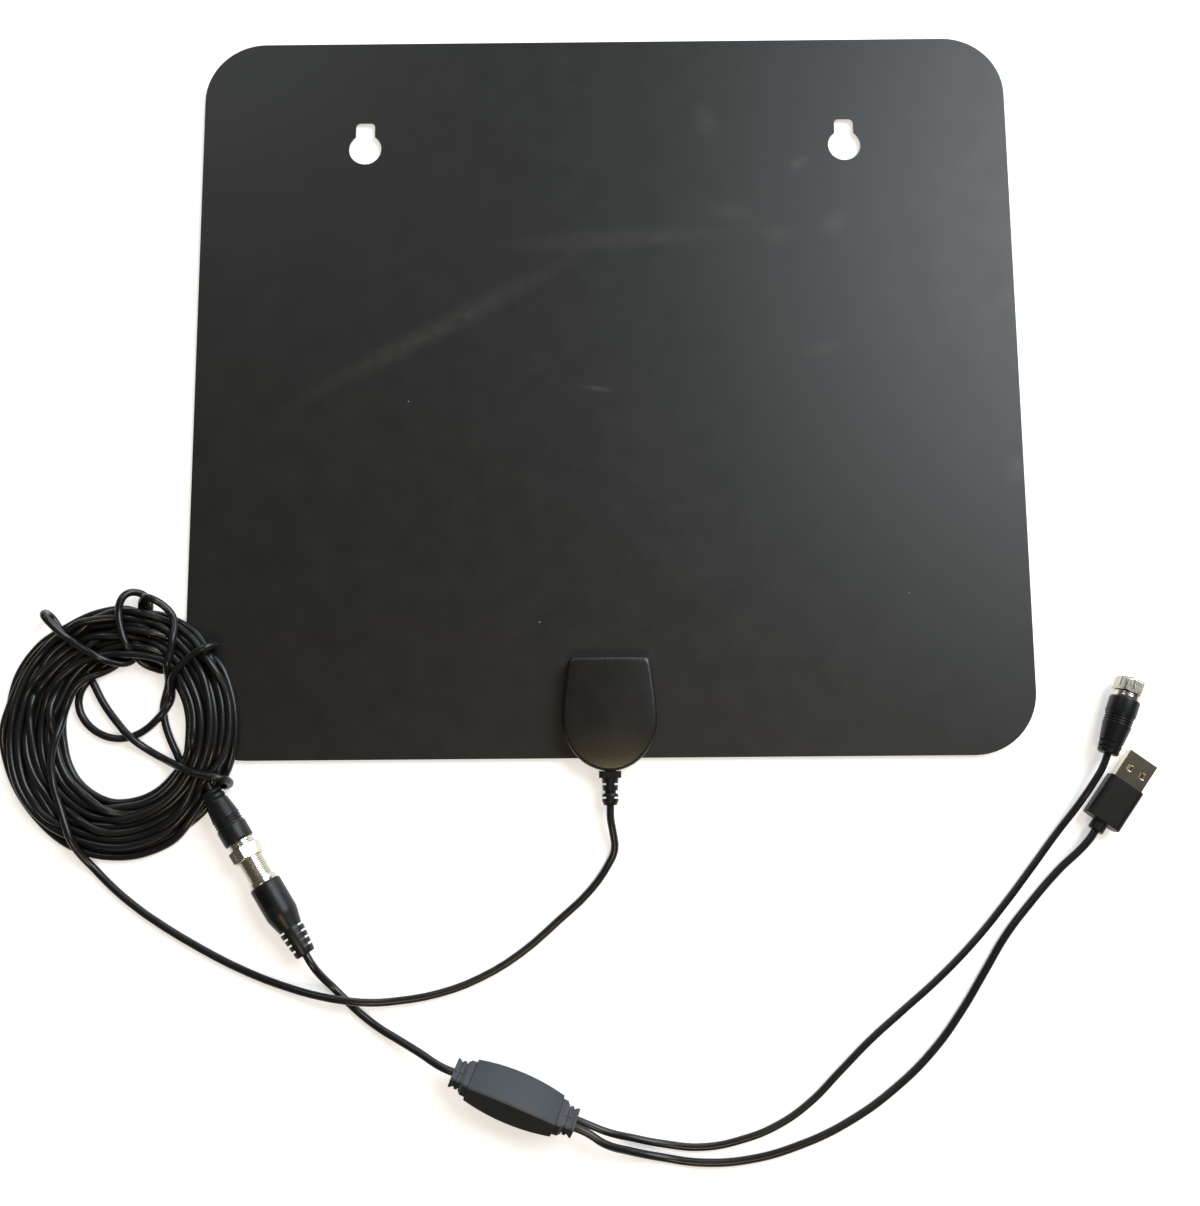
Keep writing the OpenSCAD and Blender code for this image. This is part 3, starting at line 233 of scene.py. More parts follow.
def black_moulding(name, colour, roughness, grain, grain_depth, specular=0.5):
    """A black plastic: slightly cloudy in colour and gloss, with a fine moulded grain."""
    made = bpy.data.materials.new(name)
    made.use_nodes = True
    nodes, links = made.node_tree.nodes, made.node_tree.links
    shader = nodes["Principled BSDF"]
    shader.inputs["Specular IOR Level"].default_value = specular
    place = nodes.new("ShaderNodeTexCoord").outputs["Object"]
    cloud = nodes.new("ShaderNodeTexNoise")
    cloud.inputs["Scale"].default_value = 90
    cloud.inputs["Detail"].default_value = 5
    links.new(place, cloud.inputs["Vector"])
    tint = nodes.new("ShaderNodeMix")
    tint.data_type = "RGBA"
    tint.inputs[6].default_value = (*[c * 0.8 for c in colour], 1)
    tint.inputs[7].default_value = (*[c * 1.25 for c in colour], 1)
    links.new(cloud.outputs["Fac"], tint.inputs["Factor"])
    links.new(tint.outputs[2], shader.inputs["Base Color"])
    gloss = nodes.new("ShaderNodeMapRange")
    gloss.inputs["To Min"].default_value = roughness - 0.05
    gloss.inputs["To Max"].default_value = roughness + 0.05
    links.new(cloud.outputs["Fac"], gloss.inputs["Value"])
    links.new(gloss.outputs["Result"], shader.inputs["Roughness"])
    fine = nodes.new("ShaderNodeTexNoise")
    fine.inputs["Scale"].default_value = grain
    fine.inputs["Detail"].default_value = 2
    links.new(place, fine.inputs["Vector"])
    bump = nodes.new("ShaderNodeBump")
    bump.inputs["Strength"].default_value = 0.6
    bump.inputs["Distance"].default_value = grain_depth
    links.new(fine.outputs["Fac"], bump.inputs["Height"])
    links.new(bump.outputs["Normal"], shader.inputs["Normal"])
    return made


jacket = black_moulding("cable_jacket", (0.008, 0.008, 0.0085), 0.28, 2500, 0.00002, 0.4)
antenna_lead.data.materials.append(jacket)
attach(antenna_lead, "panel_side")
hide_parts("antenna_cable", "cable_coil", "cable_tail")


# Pigtail, output and power cables. Three short cables in the same jacket leave the amplifier: one
# to the socket, one to the aerial plug and one to the power plug. The output cable is the thinner.
def flat_way(at, turn, far, z):
    """A place on an axis that lies flat, for the cables' routes."""
    return (at[0] + far * math.cos(turn), at[1] + far * math.sin(turn), z)


amp_at, amp_turn, amp_roll = (-0.0367, -0.1066), math.radians(-22.3), math.radians(50)
amp_w, amp_t, amp_end, outlet_pitch = 0.015, 0.012, 0.02445, 0.0034
amp_z = amp_w / 2 * math.sin(amp_roll) + amp_t / 2 * math.cos(amp_roll)


def in_amplifier(along, across):
    """A place in the amplifier, for the cables' routes."""
    x, y, _ = flat_way(amp_at, amp_turn, along, 0)
    side = across * math.cos(amp_roll)
    return (x - side * math.sin(amp_turn), y + side * math.cos(amp_turn),
            amp_z - across * math.sin(amp_roll))


plug_at, plug_z, jack_end = (plug_rear[0], plug_rear[1]), plug_rear[2], 0.0725
into_piece, output_d = 0.003, 0.0028
output_at, output_turn = (0.192, 0.0182), math.radians(68.4)
power_at, power_turn, power_z = (0.1865, -0.011), math.radians(54), 0.0041
pigtail_route = [
    (-0.110, -0.064, 0.0036), (-0.1065, -0.068, 0.0015), (-0.1015, -0.0727, 0.0015),
    (-0.0955, -0.078, 0.0015), (-0.0885, -0.083, 0.002), (-0.080, -0.0874, 0.004),
    (-0.0725, -0.0909, 0.007)]
output_route = [
    (-0.002, -0.1197, 0.0074), (0.007, -0.1228, 0.0038), (0.018, -0.1256, 0.0014), (0.033, -0.127, 0.0014),
    (0.048, -0.1245, 0.0014), (0.0625, -0.119, 0.0014), (0.0745, -0.111, 0.0014), (0.086, -0.100, 0.0014),
    (0.0975, -0.089, 0.0014), (0.110, -0.0785, 0.0014), (0.125, -0.066, 0.0014), (0.139, -0.0525, 0.0014),
    (0.151, -0.039, 0.0014), (0.162, -0.0255, 0.0014), (0.1725, -0.012, 0.002), (0.181, -0.001, 0.0038),
    (0.1865, 0.0075, 0.006)]
power_route = [
    (-0.003, -0.1232, 0.0098), (0.006, -0.127, 0.0054), (0.018, -0.1305, 0.0015), (0.033, -0.1325, 0.0015),
    (0.051, -0.1315, 0.0015), (0.070, -0.1265, 0.0015), (0.089, -0.118, 0.0015), (0.1075, -0.1055, 0.0015),
    (0.122, -0.092, 0.0015), (0.133, -0.078, 0.0015), (0.1425, -0.0635, 0.0015), (0.151, -0.0505, 0.0015),
    (0.161, -0.0385, 0.0015), (0.172, -0.0265, 0.002)]
for name, node, thick, points in (
        ("pigtail", "pigtail_cable", jacket_d,
         [flat_way(plug_at, plug_turn, jack_end - into_piece, plug_z),
          flat_way(plug_at, plug_turn, jack_end + straight, plug_z)]
         + pigtail_route + [in_amplifier(-amp_end - straight, 0), in_amplifier(-amp_end + into_piece, 0)]),
        ("output_lead", "output_cable", output_d,
         [in_amplifier(amp_end - into_piece, outlet_pitch / 2),
          in_amplifier(amp_end + straight, outlet_pitch / 2)]
         + output_route + [flat_way(output_at, output_turn, -straight, plug_z),
                           flat_way(output_at, output_turn, into_piece, plug_z)]),
        ("power_lead", "power_cable", jacket_d,
         [in_amplifier(amp_end - into_piece, -outlet_pitch / 2),
          in_amplifier(amp_end + straight, -outlet_pitch / 2)]
         + power_route + [flat_way(power_at, power_turn, -straight, power_z),
                          flat_way(power_at, power_turn, into_piece, power_z)])):
    piece = cable(name, points, thick, 12)
    piece.data.materials.append(jacket)
    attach(piece, "amplifier_side")
    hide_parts(node)


# Panel. Two black plastic films, printed with a fine matt grain, are bonded over the antenna's foil.
# The front one is handled most: it has faint smudge marks and specks of dust, and two long pale bands that
# are a painted sheen along the foil's edge under the film.
def spot(nodes, links, place, at, size, turn=0.0):
    """A soft round or long patch on the panel, from 1 in its middle to 0 at its rim."""
    mapping = nodes.new("ShaderNodeMapping")
    mapping.vector_type = "TEXTURE"
    mapping.inputs["Location"].default_value = (at[0], at[1], 0)
    mapping.inputs["Rotation"].default_value = (0, 0, turn)
    mapping.inputs["Scale"].default_value = (size[0], size[1], 1)
    links.new(place, mapping.inputs["Vector"])
    ball = nodes.new("ShaderNodeTexGradient")
    ball.gradient_type = "SPHERICAL"
    links.new(mapping.outputs["Vector"], ball.inputs["Vector"])
    return ball.outputs["Fac"]


film = black_moulding("panel_film", (0.0096, 0.0094, 0.0086), 0.42, 1500, 0.00004)
nodes, links = film.node_tree.nodes, film.node_tree.links
shader = nodes["Principled BSDF"]
flat = nodes.new("ShaderNodeVectorMath")
flat.operation = "MULTIPLY"
flat.inputs[1].default_value = (1, 1, 0)
links.new(nodes.new("ShaderNodeTexCoord").outputs["Object"], flat.inputs[0])
place = flat.outputs["Vector"]
smudges_and_sheen_bands = [  # middle, half size, turn in degrees and strength of each mark
    ((0.0425, 0.124), (0.006, 0.012), 20, 0.5), ((0.052, 0.083), (0.012, 0.006), -15, 0.45),
    ((0.081, 0.104), (0.006, 0.004), 30, 0.7), ((0.071, 0.073), (0.008, 0.005), 0, 0.5),
    ((0.095, 0.078), (0.009, 0.006), 40, 0.5), ((0.088, 0.024), (0.010, 0.004), 10, 0.4),
    ((0.165, -0.027), (0.009, 0.006), 60, 0.5), ((-0.004, 0.008), (0.008, 0.0014), -8, 1.0),
    # the last two long marks are a painted sheen along the foil's edge under the film; the others are smudge
    # marks
    ((-0.070, 0.033), (0.075, 0.006), 28, 0.55), ((0.012, 0.072), (0.060, 0.006), 3, 0.4)]
marks = None
for at, size, turn, strength in smudges_and_sheen_bands:
    grown = nodes.new("ShaderNodeMath")
    grown.operation = "MULTIPLY_ADD"
    grown.inputs[1].default_value = strength
    links.new(spot(nodes, links, place, at, size, math.radians(turn)), grown.inputs[0])
    grown.inputs[2].default_value = 0
    if marks:
        links.new(marks, grown.inputs[2])
    marks = grown.outputs["Value"]
patchy = nodes.new("ShaderNodeTexNoise")
patchy.inputs["Scale"].default_value = 260
patchy.inputs["Detail"].default_value = 6
links.new(place, patchy.inputs["Vector"])
broken = nodes.new("ShaderNodeMath")
broken.operation = "MULTIPLY"
links.new(marks, broken.inputs[0])
links.new(patchy.outputs["Fac"], broken.inputs[1])
dust = nodes.new("ShaderNodeTexVoronoi")
dust.inputs["Scale"].default_value = 75
links.new(place, dust.inputs["Vector"])
speck = nodes.new("ShaderNodeMapRange")
speck.inputs["From Min"].default_value = 0.022
speck.inputs["From Max"].default_value = 0.012
links.new(dust.outputs["Distance"], speck.inputs["Value"])
some = nodes.new("ShaderNodeSeparateColor")
links.new(dust.outputs["Color"], some.inputs["Color"])
rare = nodes.new("ShaderNodeMath")
rare.operation = "GREATER_THAN"
rare.inputs[1].default_value = 0.9
links.new(some.outputs["Red"], rare.inputs[0])
specks = nodes.new("ShaderNodeMath")
specks.operation = "MULTIPLY"
links.new(speck.outputs["Result"], specks.inputs[0])
links.new(rare.outputs["Value"], specks.inputs[1])
plain = shader.inputs["Base Color"].links[0].from_socket
# Smudge marks, and the painted sheen of the two long bands, lighten the film here.
smudge_and_sheen_tint = nodes.new("ShaderNodeMix")
smudge_and_sheen_tint.data_type = "RGBA"
smudge_and_sheen_tint.inputs[7].default_value = (0.075, 0.073, 0.068, 1)
links.new(broken.outputs["Value"], smudge_and_sheen_tint.inputs["Factor"])
links.new(plain, smudge_and_sheen_tint.inputs[6])
dusty = nodes.new("ShaderNodeMix")
dusty.data_type = "RGBA"
dusty.inputs[7].default_value = (0.45, 0.45, 0.43, 1)
links.new(specks.outputs["Value"], dusty.inputs["Factor"])
links.new(smudge_and_sheen_tint.outputs[2], dusty.inputs[6])
links.new(dusty.outputs[2], shader.inputs["Base Color"])


def dress(node, material):
    """Gives a piece of the frame its finish."""
    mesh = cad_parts[node].data
    mesh.materials.clear()
    mesh.materials.append(material)


dress("panel_front_film", film)
dress("panel_back_film", black_moulding("back_film", (0.012, 0.012, 0.0125), 0.5, 1500, 0.00004))


def metal(name, colour, roughness, brushed, scratch=0.04):
    """A metal with fine marks of its making; brushed is how much longer they are along each axis."""
    made = bpy.data.materials.new(name)
    made.use_nodes = True
    nodes, links = made.node_tree.nodes, made.node_tree.links
    shader = nodes["Principled BSDF"]
    shader.inputs["Metallic"].default_value = 1
    long = nodes.new("ShaderNodeMapping")
    long.inputs["Scale"].default_value = brushed
    links.new(nodes.new("ShaderNodeTexCoord").outputs["Object"], long.inputs["Vector"])
    marks = nodes.new("ShaderNodeTexNoise")
    marks.inputs["Scale"].default_value = 400
    marks.inputs["Detail"].default_value = 6
    links.new(long.outputs["Vector"], marks.inputs["Vector"])
    tint = nodes.new("ShaderNodeMix")
    tint.data_type = "RGBA"
    tint.inputs[6].default_value = (*[c * 0.88 for c in colour], 1)
    tint.inputs[7].default_value = (*colour, 1)
    links.new(marks.outputs["Fac"], tint.inputs["Factor"])
    links.new(tint.outputs[2], shader.inputs["Base Color"])
    worn = nodes.new("ShaderNodeMapRange")
    worn.inputs["To Min"].default_value = roughness - scratch
    worn.inputs["To Max"].default_value = roughness + 2 * scratch
    links.new(marks.outputs["Fac"], worn.inputs["Value"])
    links.new(worn.outputs["Result"], shader.inputs["Roughness"])
    return made


dress("antenna_foil", metal("aluminium_foil", (0.75, 0.75, 0.77), 0.3, (1, 8, 1)))


# Housing. A satin black moulded front, domed and rounded along its edges, closes on a flat back
# plate with pegs in the plate's bosses. The matching board inside takes the foil's signal.
def from_frame(name, node, body, material, edge, steps=2, sharp=28, rows=()):
    """The piece of the frame itself, with its corners rounded as a mould or a die leaves them."""
    form = bmesh.new()
    form.from_mesh(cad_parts[node].data)
    bmesh.ops.remove_doubles(form, verts=form.verts, dist=1e-6)
    bmesh.ops.dissolve_limit(form, angle_limit=math.radians(0.4), verts=form.verts, edges=form.edges)
    mesh = bpy.data.meshes.new(name)
    form.to_mesh(mesh)
    form.free()
    piece = bpy.data.objects.new(name, mesh)
    bpy.context.scene.collection.objects.link(piece)
    if rows:
        cut(piece, rows)
        mesh = piece.data
    if edge:
        rounding = piece.modifiers.new("rounding", "BEVEL")
        rounding.width = edge
        rounding.segments = steps
        rounding.limit_method = "ANGLE"
        rounding.angle_limit = math.radians(sharp)
        rounding.use_clamp_overlap = True
    mesh.polygons.foreach_set("use_smooth", [True] * len(mesh.polygons))
    mesh.set_sharp_from_angle(angle=math.radians(sharp))
    even = piece.modifiers.new("even", "WEIGHTED_NORMAL")
    even.keep_sharp = True
    return finish_mesh(piece, body, material, [node], None)


def finish_mesh(piece, body, material, stands_for, sharp=35):
    """Bakes the modifiers, smooths round faces, keeps true edges, and sets the piece in its place."""
    shape = piece.evaluated_get(bpy.context.evaluated_depsgraph_get())
    mesh = bpy.data.meshes.new_from_object(shape)
    piece.modifiers.clear()
    old, piece.data = piece.data, mesh
    bpy.data.meshes.remove(old)
    mesh.materials.clear()
    mesh.materials.append(material)
    if sharp:
        mesh.polygons.foreach_set("use_smooth", [True] * len(mesh.polygons))
        mesh.set_sharp_from_angle(angle=math.radians(sharp))
    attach(piece, body)
    if stands_for:
        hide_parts(*stands_for)
    return piece


housing_black = black_moulding("housing_moulding", (0.0080, 0.0078, 0.0074), 0.34, 1200, 0.00003)
from_frame("housing_front", "housing_front_shell", "panel_side", housing_black, edge=0)
dress("housing_back_plate", black_moulding("plate_moulding", (0.012, 0.012, 0.012), 0.5, 1200, 0.00004))
dress("matching_board", black_moulding("green_laminate", (0.03, 0.16, 0.06), 0.4, 900, 0.00002))
dress("transformer_core", black_moulding("ferrite", (0.06, 0.057, 0.057), 0.7, 2000, 0.00005))
brass = metal("brass", (0.72, 0.55, 0.27), 0.25, (1, 1, 6))
dress("contact_pins", brass)
milky = black_moulding("milky_insulator", (0.72, 0.72, 0.68), 0.4, 1500, 0.00001)
dress("feed_core", milky)

# Strain relief. A soft black moulding grips the cable where it leaves the housing: a square collar,
# two bulbs with a waist between them, and slots at the sides that let it bend.
boot_black = black_moulding("boot_moulding", (0.0070, 0.0076, 0.0084), 0.36, 1600, 0.00003, 0.27)
from_frame("strain_relief", "cable_strain_relief", "panel_side", boot_black, edge=0.00018)


# Plug boots. Both aerial plugs have the same boot, moulded over the metal body and the cable: two
# slots at its rear, a taper, three rings for the fingers and a straight front with rounded edges.
def upright_at(at, turn, z):
    """Where an upright piece goes when it lies on its side along a plug's axis."""
    return (Matrix.Translation((at[0], at[1] + exit_at.y, z)) @ Matrix.Rotation(turn, 4, "Z")
            @ Matrix.Rotation(math.pi / 2, 4, "Y"))


def eased(outline, radius):
    """The outline with each corner off the axis rounded, by at most radius."""
    points = []
    for i, corner in enumerate(outline):
        before, after = Vector(outline[i - 1]), Vector(outline[(i + 1) % len(outline)])
        here = Vector(corner)
        if here.x < 1e-6:
            points.append(here)
            continue
        cut = min(radius, 0.4 * (before - here).length, 0.4 * (after - here).length)
        start = here + (before - here).normalized() * cut
        end = here + (after - here).normalized() * cut
        points += [start, (start + 2 * here + end) / 4, end]
    return points


def turned(name, outline, place, radius=0.0002, steps=72):
    """A round piece from its closed outline of (radius, height) points, laid in its place."""
    points = eased(outline, radius)
    form = bmesh.new()
    rings = []
    for r, z in points:
        if r < 1e-6:
            rings.append([form.verts.new((0, 0, z))] * steps)
        else:
            rings.append([form.verts.new((r * math.cos(a), r * math.sin(a), z))
                          for a in (2 * math.pi * k / steps for k in range(steps))])
    for ring, above in zip(rings, rings[1:] + rings[:1]):
        for k in range(steps):
            corners = []
            for v in (ring[k], ring[k - 1], above[k - 1], above[k]):
                if v not in corners:
                    corners.append(v)
            if len(corners) > 2:
                form.faces.new(corners)
    bmesh.ops.recalc_face_normals(form, faces=form.faces)
    form.transform(place)
    mesh = bpy.data.meshes.new(name)
    form.to_mesh(mesh)
    form.free()
    piece = bpy.data.objects.new(name, mesh)
    bpy.context.scene.collection.objects.link(piece)
    return piece


def box_row(count, pitch, size):
    """A Geometry Nodes tree that sets equal blocks in a row, to cut slots or grooves with."""
    tree = bpy.data.node_groups.new("slot row", "GeometryNodeTree")
    tree.interface.new_socket("Geometry", in_out="OUTPUT", socket_type="NodeSocketGeometry")
    sockets = {}
    for label, kind in (("Count", "Int"), ("Pitch", "Float"), ("Size", "Vector")):
        socket = tree.interface.new_socket(label, in_out="INPUT", socket_type="NodeSocket" + kind)
        sockets[label] = socket.identifier
    nodes, links = tree.nodes, tree.links
    inputs, output = nodes.new("NodeGroupInput"), nodes.new("NodeGroupOutput")
    row = nodes.new("GeometryNodeMeshLine")
    links.new(inputs.outputs["Count"], row.inputs["Count"])
    step = nodes.new("ShaderNodeCombineXYZ")
    links.new(inputs.outputs["Pitch"], step.inputs["Z"])
    links.new(step.outputs["Vector"], row.inputs["Offset"])
    block = nodes.new("GeometryNodeMeshCube")
    links.new(inputs.outputs["Size"], block.inputs["Size"])
    each = nodes.new("GeometryNodeInstanceOnPoints")
    links.new(row.outputs["Mesh"], each.inputs["Points"])
    links.new(block.outputs["Mesh"], each.inputs["Instance"])
    real = nodes.new("GeometryNodeRealizeInstances")
    links.new(each.outputs["Instances"], real.inputs["Geometry"])
    surface = nodes.new("GeometryNodeSetMaterial")
    surface.inputs["Material"].default_value = boot_black
    links.new(real.outputs["Geometry"], surface.inputs["Geometry"])
    links.new(surface.outputs["Geometry"], output.inputs["Geometry"])
    holder = bpy.data.objects.new("row", bpy.data.meshes.new("row"))
    bpy.context.scene.collection.objects.link(holder)
    nodes_modifier = holder.modifiers.new("row", "NODES")
    nodes_modifier.node_group = tree
    nodes_modifier[sockets["Count"]] = count
    nodes_modifier[sockets["Pitch"]] = pitch
    nodes_modifier[sockets["Size"]] = size
    mesh = bpy.data.meshes.new_from_object(holder.evaluated_get(bpy.context.evaluated_depsgraph_get()))
    bpy.data.objects.remove(holder)
    return mesh


def cut(piece, rows):
    """Cuts rows of slots in a piece; each row is its mesh and where it goes."""
    form = bmesh.new()
    for mesh, place in rows:
        start = len(form.verts)
        form.from_mesh(mesh)
        form.verts.ensure_lookup_table()
        bmesh.ops.transform(form, matrix=place, verts=form.verts[start:])
    data = bpy.data.meshes.new("cutter")
    form.to_mesh(data)
    form.free()
    cutter = bpy.data.objects.new("cutter", data)
    bpy.context.scene.collection.objects.link(cutter)
    slots = piece.modifiers.new("slots", "BOOLEAN")
    slots.operation = "DIFFERENCE"
    slots.solver = "EXACT"
    slots.object = cutter
    mesh = bpy.data.meshes.new_from_object(piece.evaluated_get(bpy.context.evaluated_depsgraph_get()))
    piece.modifiers.clear()
    piece.data = mesh
    bpy.data.objects.remove(cutter)


boot_r, boot_mid_r, boot_rear_r, boot_end_r = 0.0057, 0.00535, 0.0045, 0.00395
boot_slot_l, boot_taper_l, boot_front_l, boot_edge = 0.0052, 0.0066, 0.0071, 0.0005
ring_count, ring_pitch, ring_w, ring_depth = 3, 0.00105, 0.00055, 0.00045
slot_in, slot_pitch, boot_slot_w, boot_web, slot_turn = 0.0021, 0.0022, 0.001, 0.0038, math.radians(24)
stem_r, stem_l, seat, ring_edge = 0.004, 0.007, 0.00005, 0.00035
rings_at = boot_slot_l + boot_taper_l
front_at = rings_at + (ring_count - 1) * ring_pitch + 3 * ring_w
boot_l = front_at + boot_front_l
boot_outline = [(0, 0), (boot_end_r - boot_edge, 0), (boot_end_r, boot_edge), (boot_rear_r, boot_slot_l),
                (boot_mid_r, rings_at)]
for i in range(ring_count):
    z = rings_at + ring_w + i * ring_pitch
    boot_outline += [(boot_mid_r, z), (boot_mid_r - ring_depth, z + ring_w * 0.2),
                     (boot_mid_r - ring_depth, z + ring_w * 0.8), (boot_mid_r, z + ring_w)]
boot_outline += [(boot_mid_r, front_at), (boot_r, front_at + boot_edge), (boot_r, boot_l - boot_edge),
                 (boot_r - boot_edge, boot_l), (stem_r + seat, boot_l), (stem_r + seat, boot_l - stem_l),
                 (0, boot_l - stem_l)]
plugs = {  # the two plugs: where each lies, its body, and its nut, which is a body of its own
    "plug": (upright_at(plug_at, plug_turn, plug_z), "panel_side", "coupling_nut"),
    "output": (upright_at(output_at, output_turn, plug_z), "amplifier_side", "output_nut")}
slot_blocks = box_row(2, slot_pitch, (2 * boot_rear_r, 2 * boot_rear_r, boot_slot_w))
for name, (lie, body, _) in plugs.items():
    piece = turned(name + "_boot_moulding", boot_outline, lie, ring_edge)
    across = lie @ Matrix.Rotation(slot_turn, 4, "Z")
    cut(piece, [(slot_blocks, across @ Matrix.Translation((0, side * (boot_web / 2 + boot_rear_r), slot_in)))
                for side in (-1, 1)])
    finish_mesh(piece, body, boot_black, [name + "_boot"])

# Plug bodies. Each is turned from brass and nickel plated: a collar that shows in front of the boot,
# a neck that the nut runs on, and a flange that keeps the nut from coming off.
nickel = metal("nickel_plate", (0.66, 0.615, 0.54), 0.20, (1, 1, 1))
collar_r, collar_l, collar_edge, neck_r = 0.0049, 0.0023, 0.0003, 0.0038
flange_r, flange_l, insulator_r, nut_gap, nut_l, nut_wall = 0.0045, 0.0008, 0.0025, 0.00015, 0.0052, 0.0012
collar_end = boot_l + collar_l
nut_start = collar_end + nut_gap
flange_start = nut_start + nut_wall + nut_gap
flange_end = flange_start + flange_l
line_at, line_w, line_depth, turned_edge = boot_l + 0.0012, 0.0002, 0.00015, 0.00012
collar_outline = [
    (insulator_r + seat, boot_l - stem_l), (stem_r, boot_l - stem_l), (stem_r, boot_l), (collar_r, boot_l),
    (collar_r, line_at), (collar_r - line_depth, line_at),
    (collar_r - line_depth, line_at + line_w), (collar_r, line_at + line_w),
    (collar_r, collar_end - collar_edge), (collar_r - collar_edge, collar_end), (neck_r, collar_end),
    (neck_r, flange_start), (flange_r, flange_start), (flange_r, flange_end),
    (insulator_r + seat, flange_end)]
for name, (lie, body, _) in plugs.items():
    piece = turned(name + "_collar_plated", collar_outline, lie, turned_edge)
    finish_mesh(piece, body, nickel, [name + "_collar"], 45)
    dress(name + "_insulator", milky)
    dress(name + "_pin", metal(name + "_copper_pin", (0.75, 0.46, 0.28), 0.25, (1, 1, 1)))


# Coupling nuts. A hexagonal nut, machined from brass bar and plated, with its corners turned off at
# the front and a fine thread inside. It turns freely on the plug's neck.
def thread(name, radius, pitch, depth, length, place, inward):
    """A fine thread's ridge as Geometry Nodes: a section with a flat crest swept along a helix."""
    crest, foot = 0.36, 1.5
    tree = bpy.data.node_groups.new(name, "GeometryNodeTree")
    tree.interface.new_socket("Geometry", in_out="OUTPUT", socket_type="NodeSocketGeometry")
    sockets = {}
    for label in ("Radius", "Pitch", "Depth", "Length"):
        socket = tree.interface.new_socket(label, in_out="INPUT", socket_type="NodeSocketFloat")
        sockets[label] = socket.identifier
    nodes, links = tree.nodes, tree.links
    inputs, output = nodes.new("NodeGroupInput"), nodes.new("NodeGroupOutput")
    turns = nodes.new("ShaderNodeMath")
    turns.operation = "DIVIDE"
    links.new(inputs.outputs["Length"], turns.inputs[0])
    links.new(inputs.outputs["Pitch"], turns.inputs[1])
    helix = nodes.new("GeometryNodeCurveSpiral")
    helix.inputs["Resolution"].default_value = 56
    links.new(turns.outputs["Value"], helix.inputs["Rotations"])
    links.new(inputs.outputs["Radius"], helix.inputs["Start Radius"])
    links.new(inputs.outputs["Radius"], helix.inputs["End Radius"])
    links.new(inputs.outputs["Length"], helix.inputs["Height"])
    level = nodes.new("GeometryNodeSetCurveNormal")
    level.mode = "Z_UP"
    links.new(helix.outputs["Curve"], level.inputs["Curve"])
    section = nodes.new("GeometryNodeCurvePrimitiveQuadrilateral")
    section.mode = "TRAPEZOID"
    section.inputs["Offset"].default_value = 0
    for of, share, width in (
            ("Depth", 2, "Height"), ("Pitch", crest, "Top Width"), ("Pitch", foot, "Bottom Width")):
        part = nodes.new("ShaderNodeMath")
        part.operation = "MULTIPLY"
        part.inputs[1].default_value = share
        links.new(inputs.outputs[of], part.inputs[0])
        links.new(part.outputs["Value"], section.inputs[width])
    upright = nodes.new("GeometryNodeTransform")
    upright.inputs["Rotation"].default_value = (0, 0, math.radians(-90 if inward else 90))
    links.new(section.outputs["Curve"], upright.inputs["Geometry"])
    ridge = nodes.new("GeometryNodeCurveToMesh")
    ridge.inputs["Fill Caps"].default_value = True
    links.new(level.outputs["Curve"], ridge.inputs["Curve"])
    links.new(upright.outputs["Geometry"], ridge.inputs["Profile Curve"])
    real = nodes.new("GeometryNodeRealizeInstances")
    links.new(ridge.outputs["Mesh"], real.inputs["Geometry"])
    surface = nodes.new("GeometryNodeSetMaterial")
    surface.inputs["Material"].default_value = nickel
    links.new(real.outputs["Geometry"], surface.inputs["Geometry"])
    links.new(surface.outputs["Geometry"], output.inputs["Geometry"])
    holder = bpy.data.objects.new(name, bpy.data.meshes.new(name))
    bpy.context.scene.collection.objects.link(holder)
    wound = holder.modifiers.new(name, "NODES")
    wound.node_group = tree
    for label, value in (("Radius", radius), ("Pitch", pitch), ("Depth", depth), ("Length", length)):
        wound[sockets[label]] = value
    mesh = bpy.data.meshes.new_from_object(holder.evaluated_get(bpy.context.evaluated_depsgraph_get()))
    bpy.data.objects.remove(holder)
    mesh.transform(place)
    return mesh


thread_r, thread_pitch, thread_depth = 0.0047625, 0.0254 / 32, 0.00036
nut_flat_r, nut_chamfer, nut_rear_chamfer, thread_gap, neck_gap = 0.0055, 0.0012, 0.0006, 0.00006, 0.00008
nut_end = nut_start + nut_l
corner_r = nut_flat_r / math.cos(math.radians(30))
blunt_r, mouth_edge = 0.988 * corner_r, 0.0002


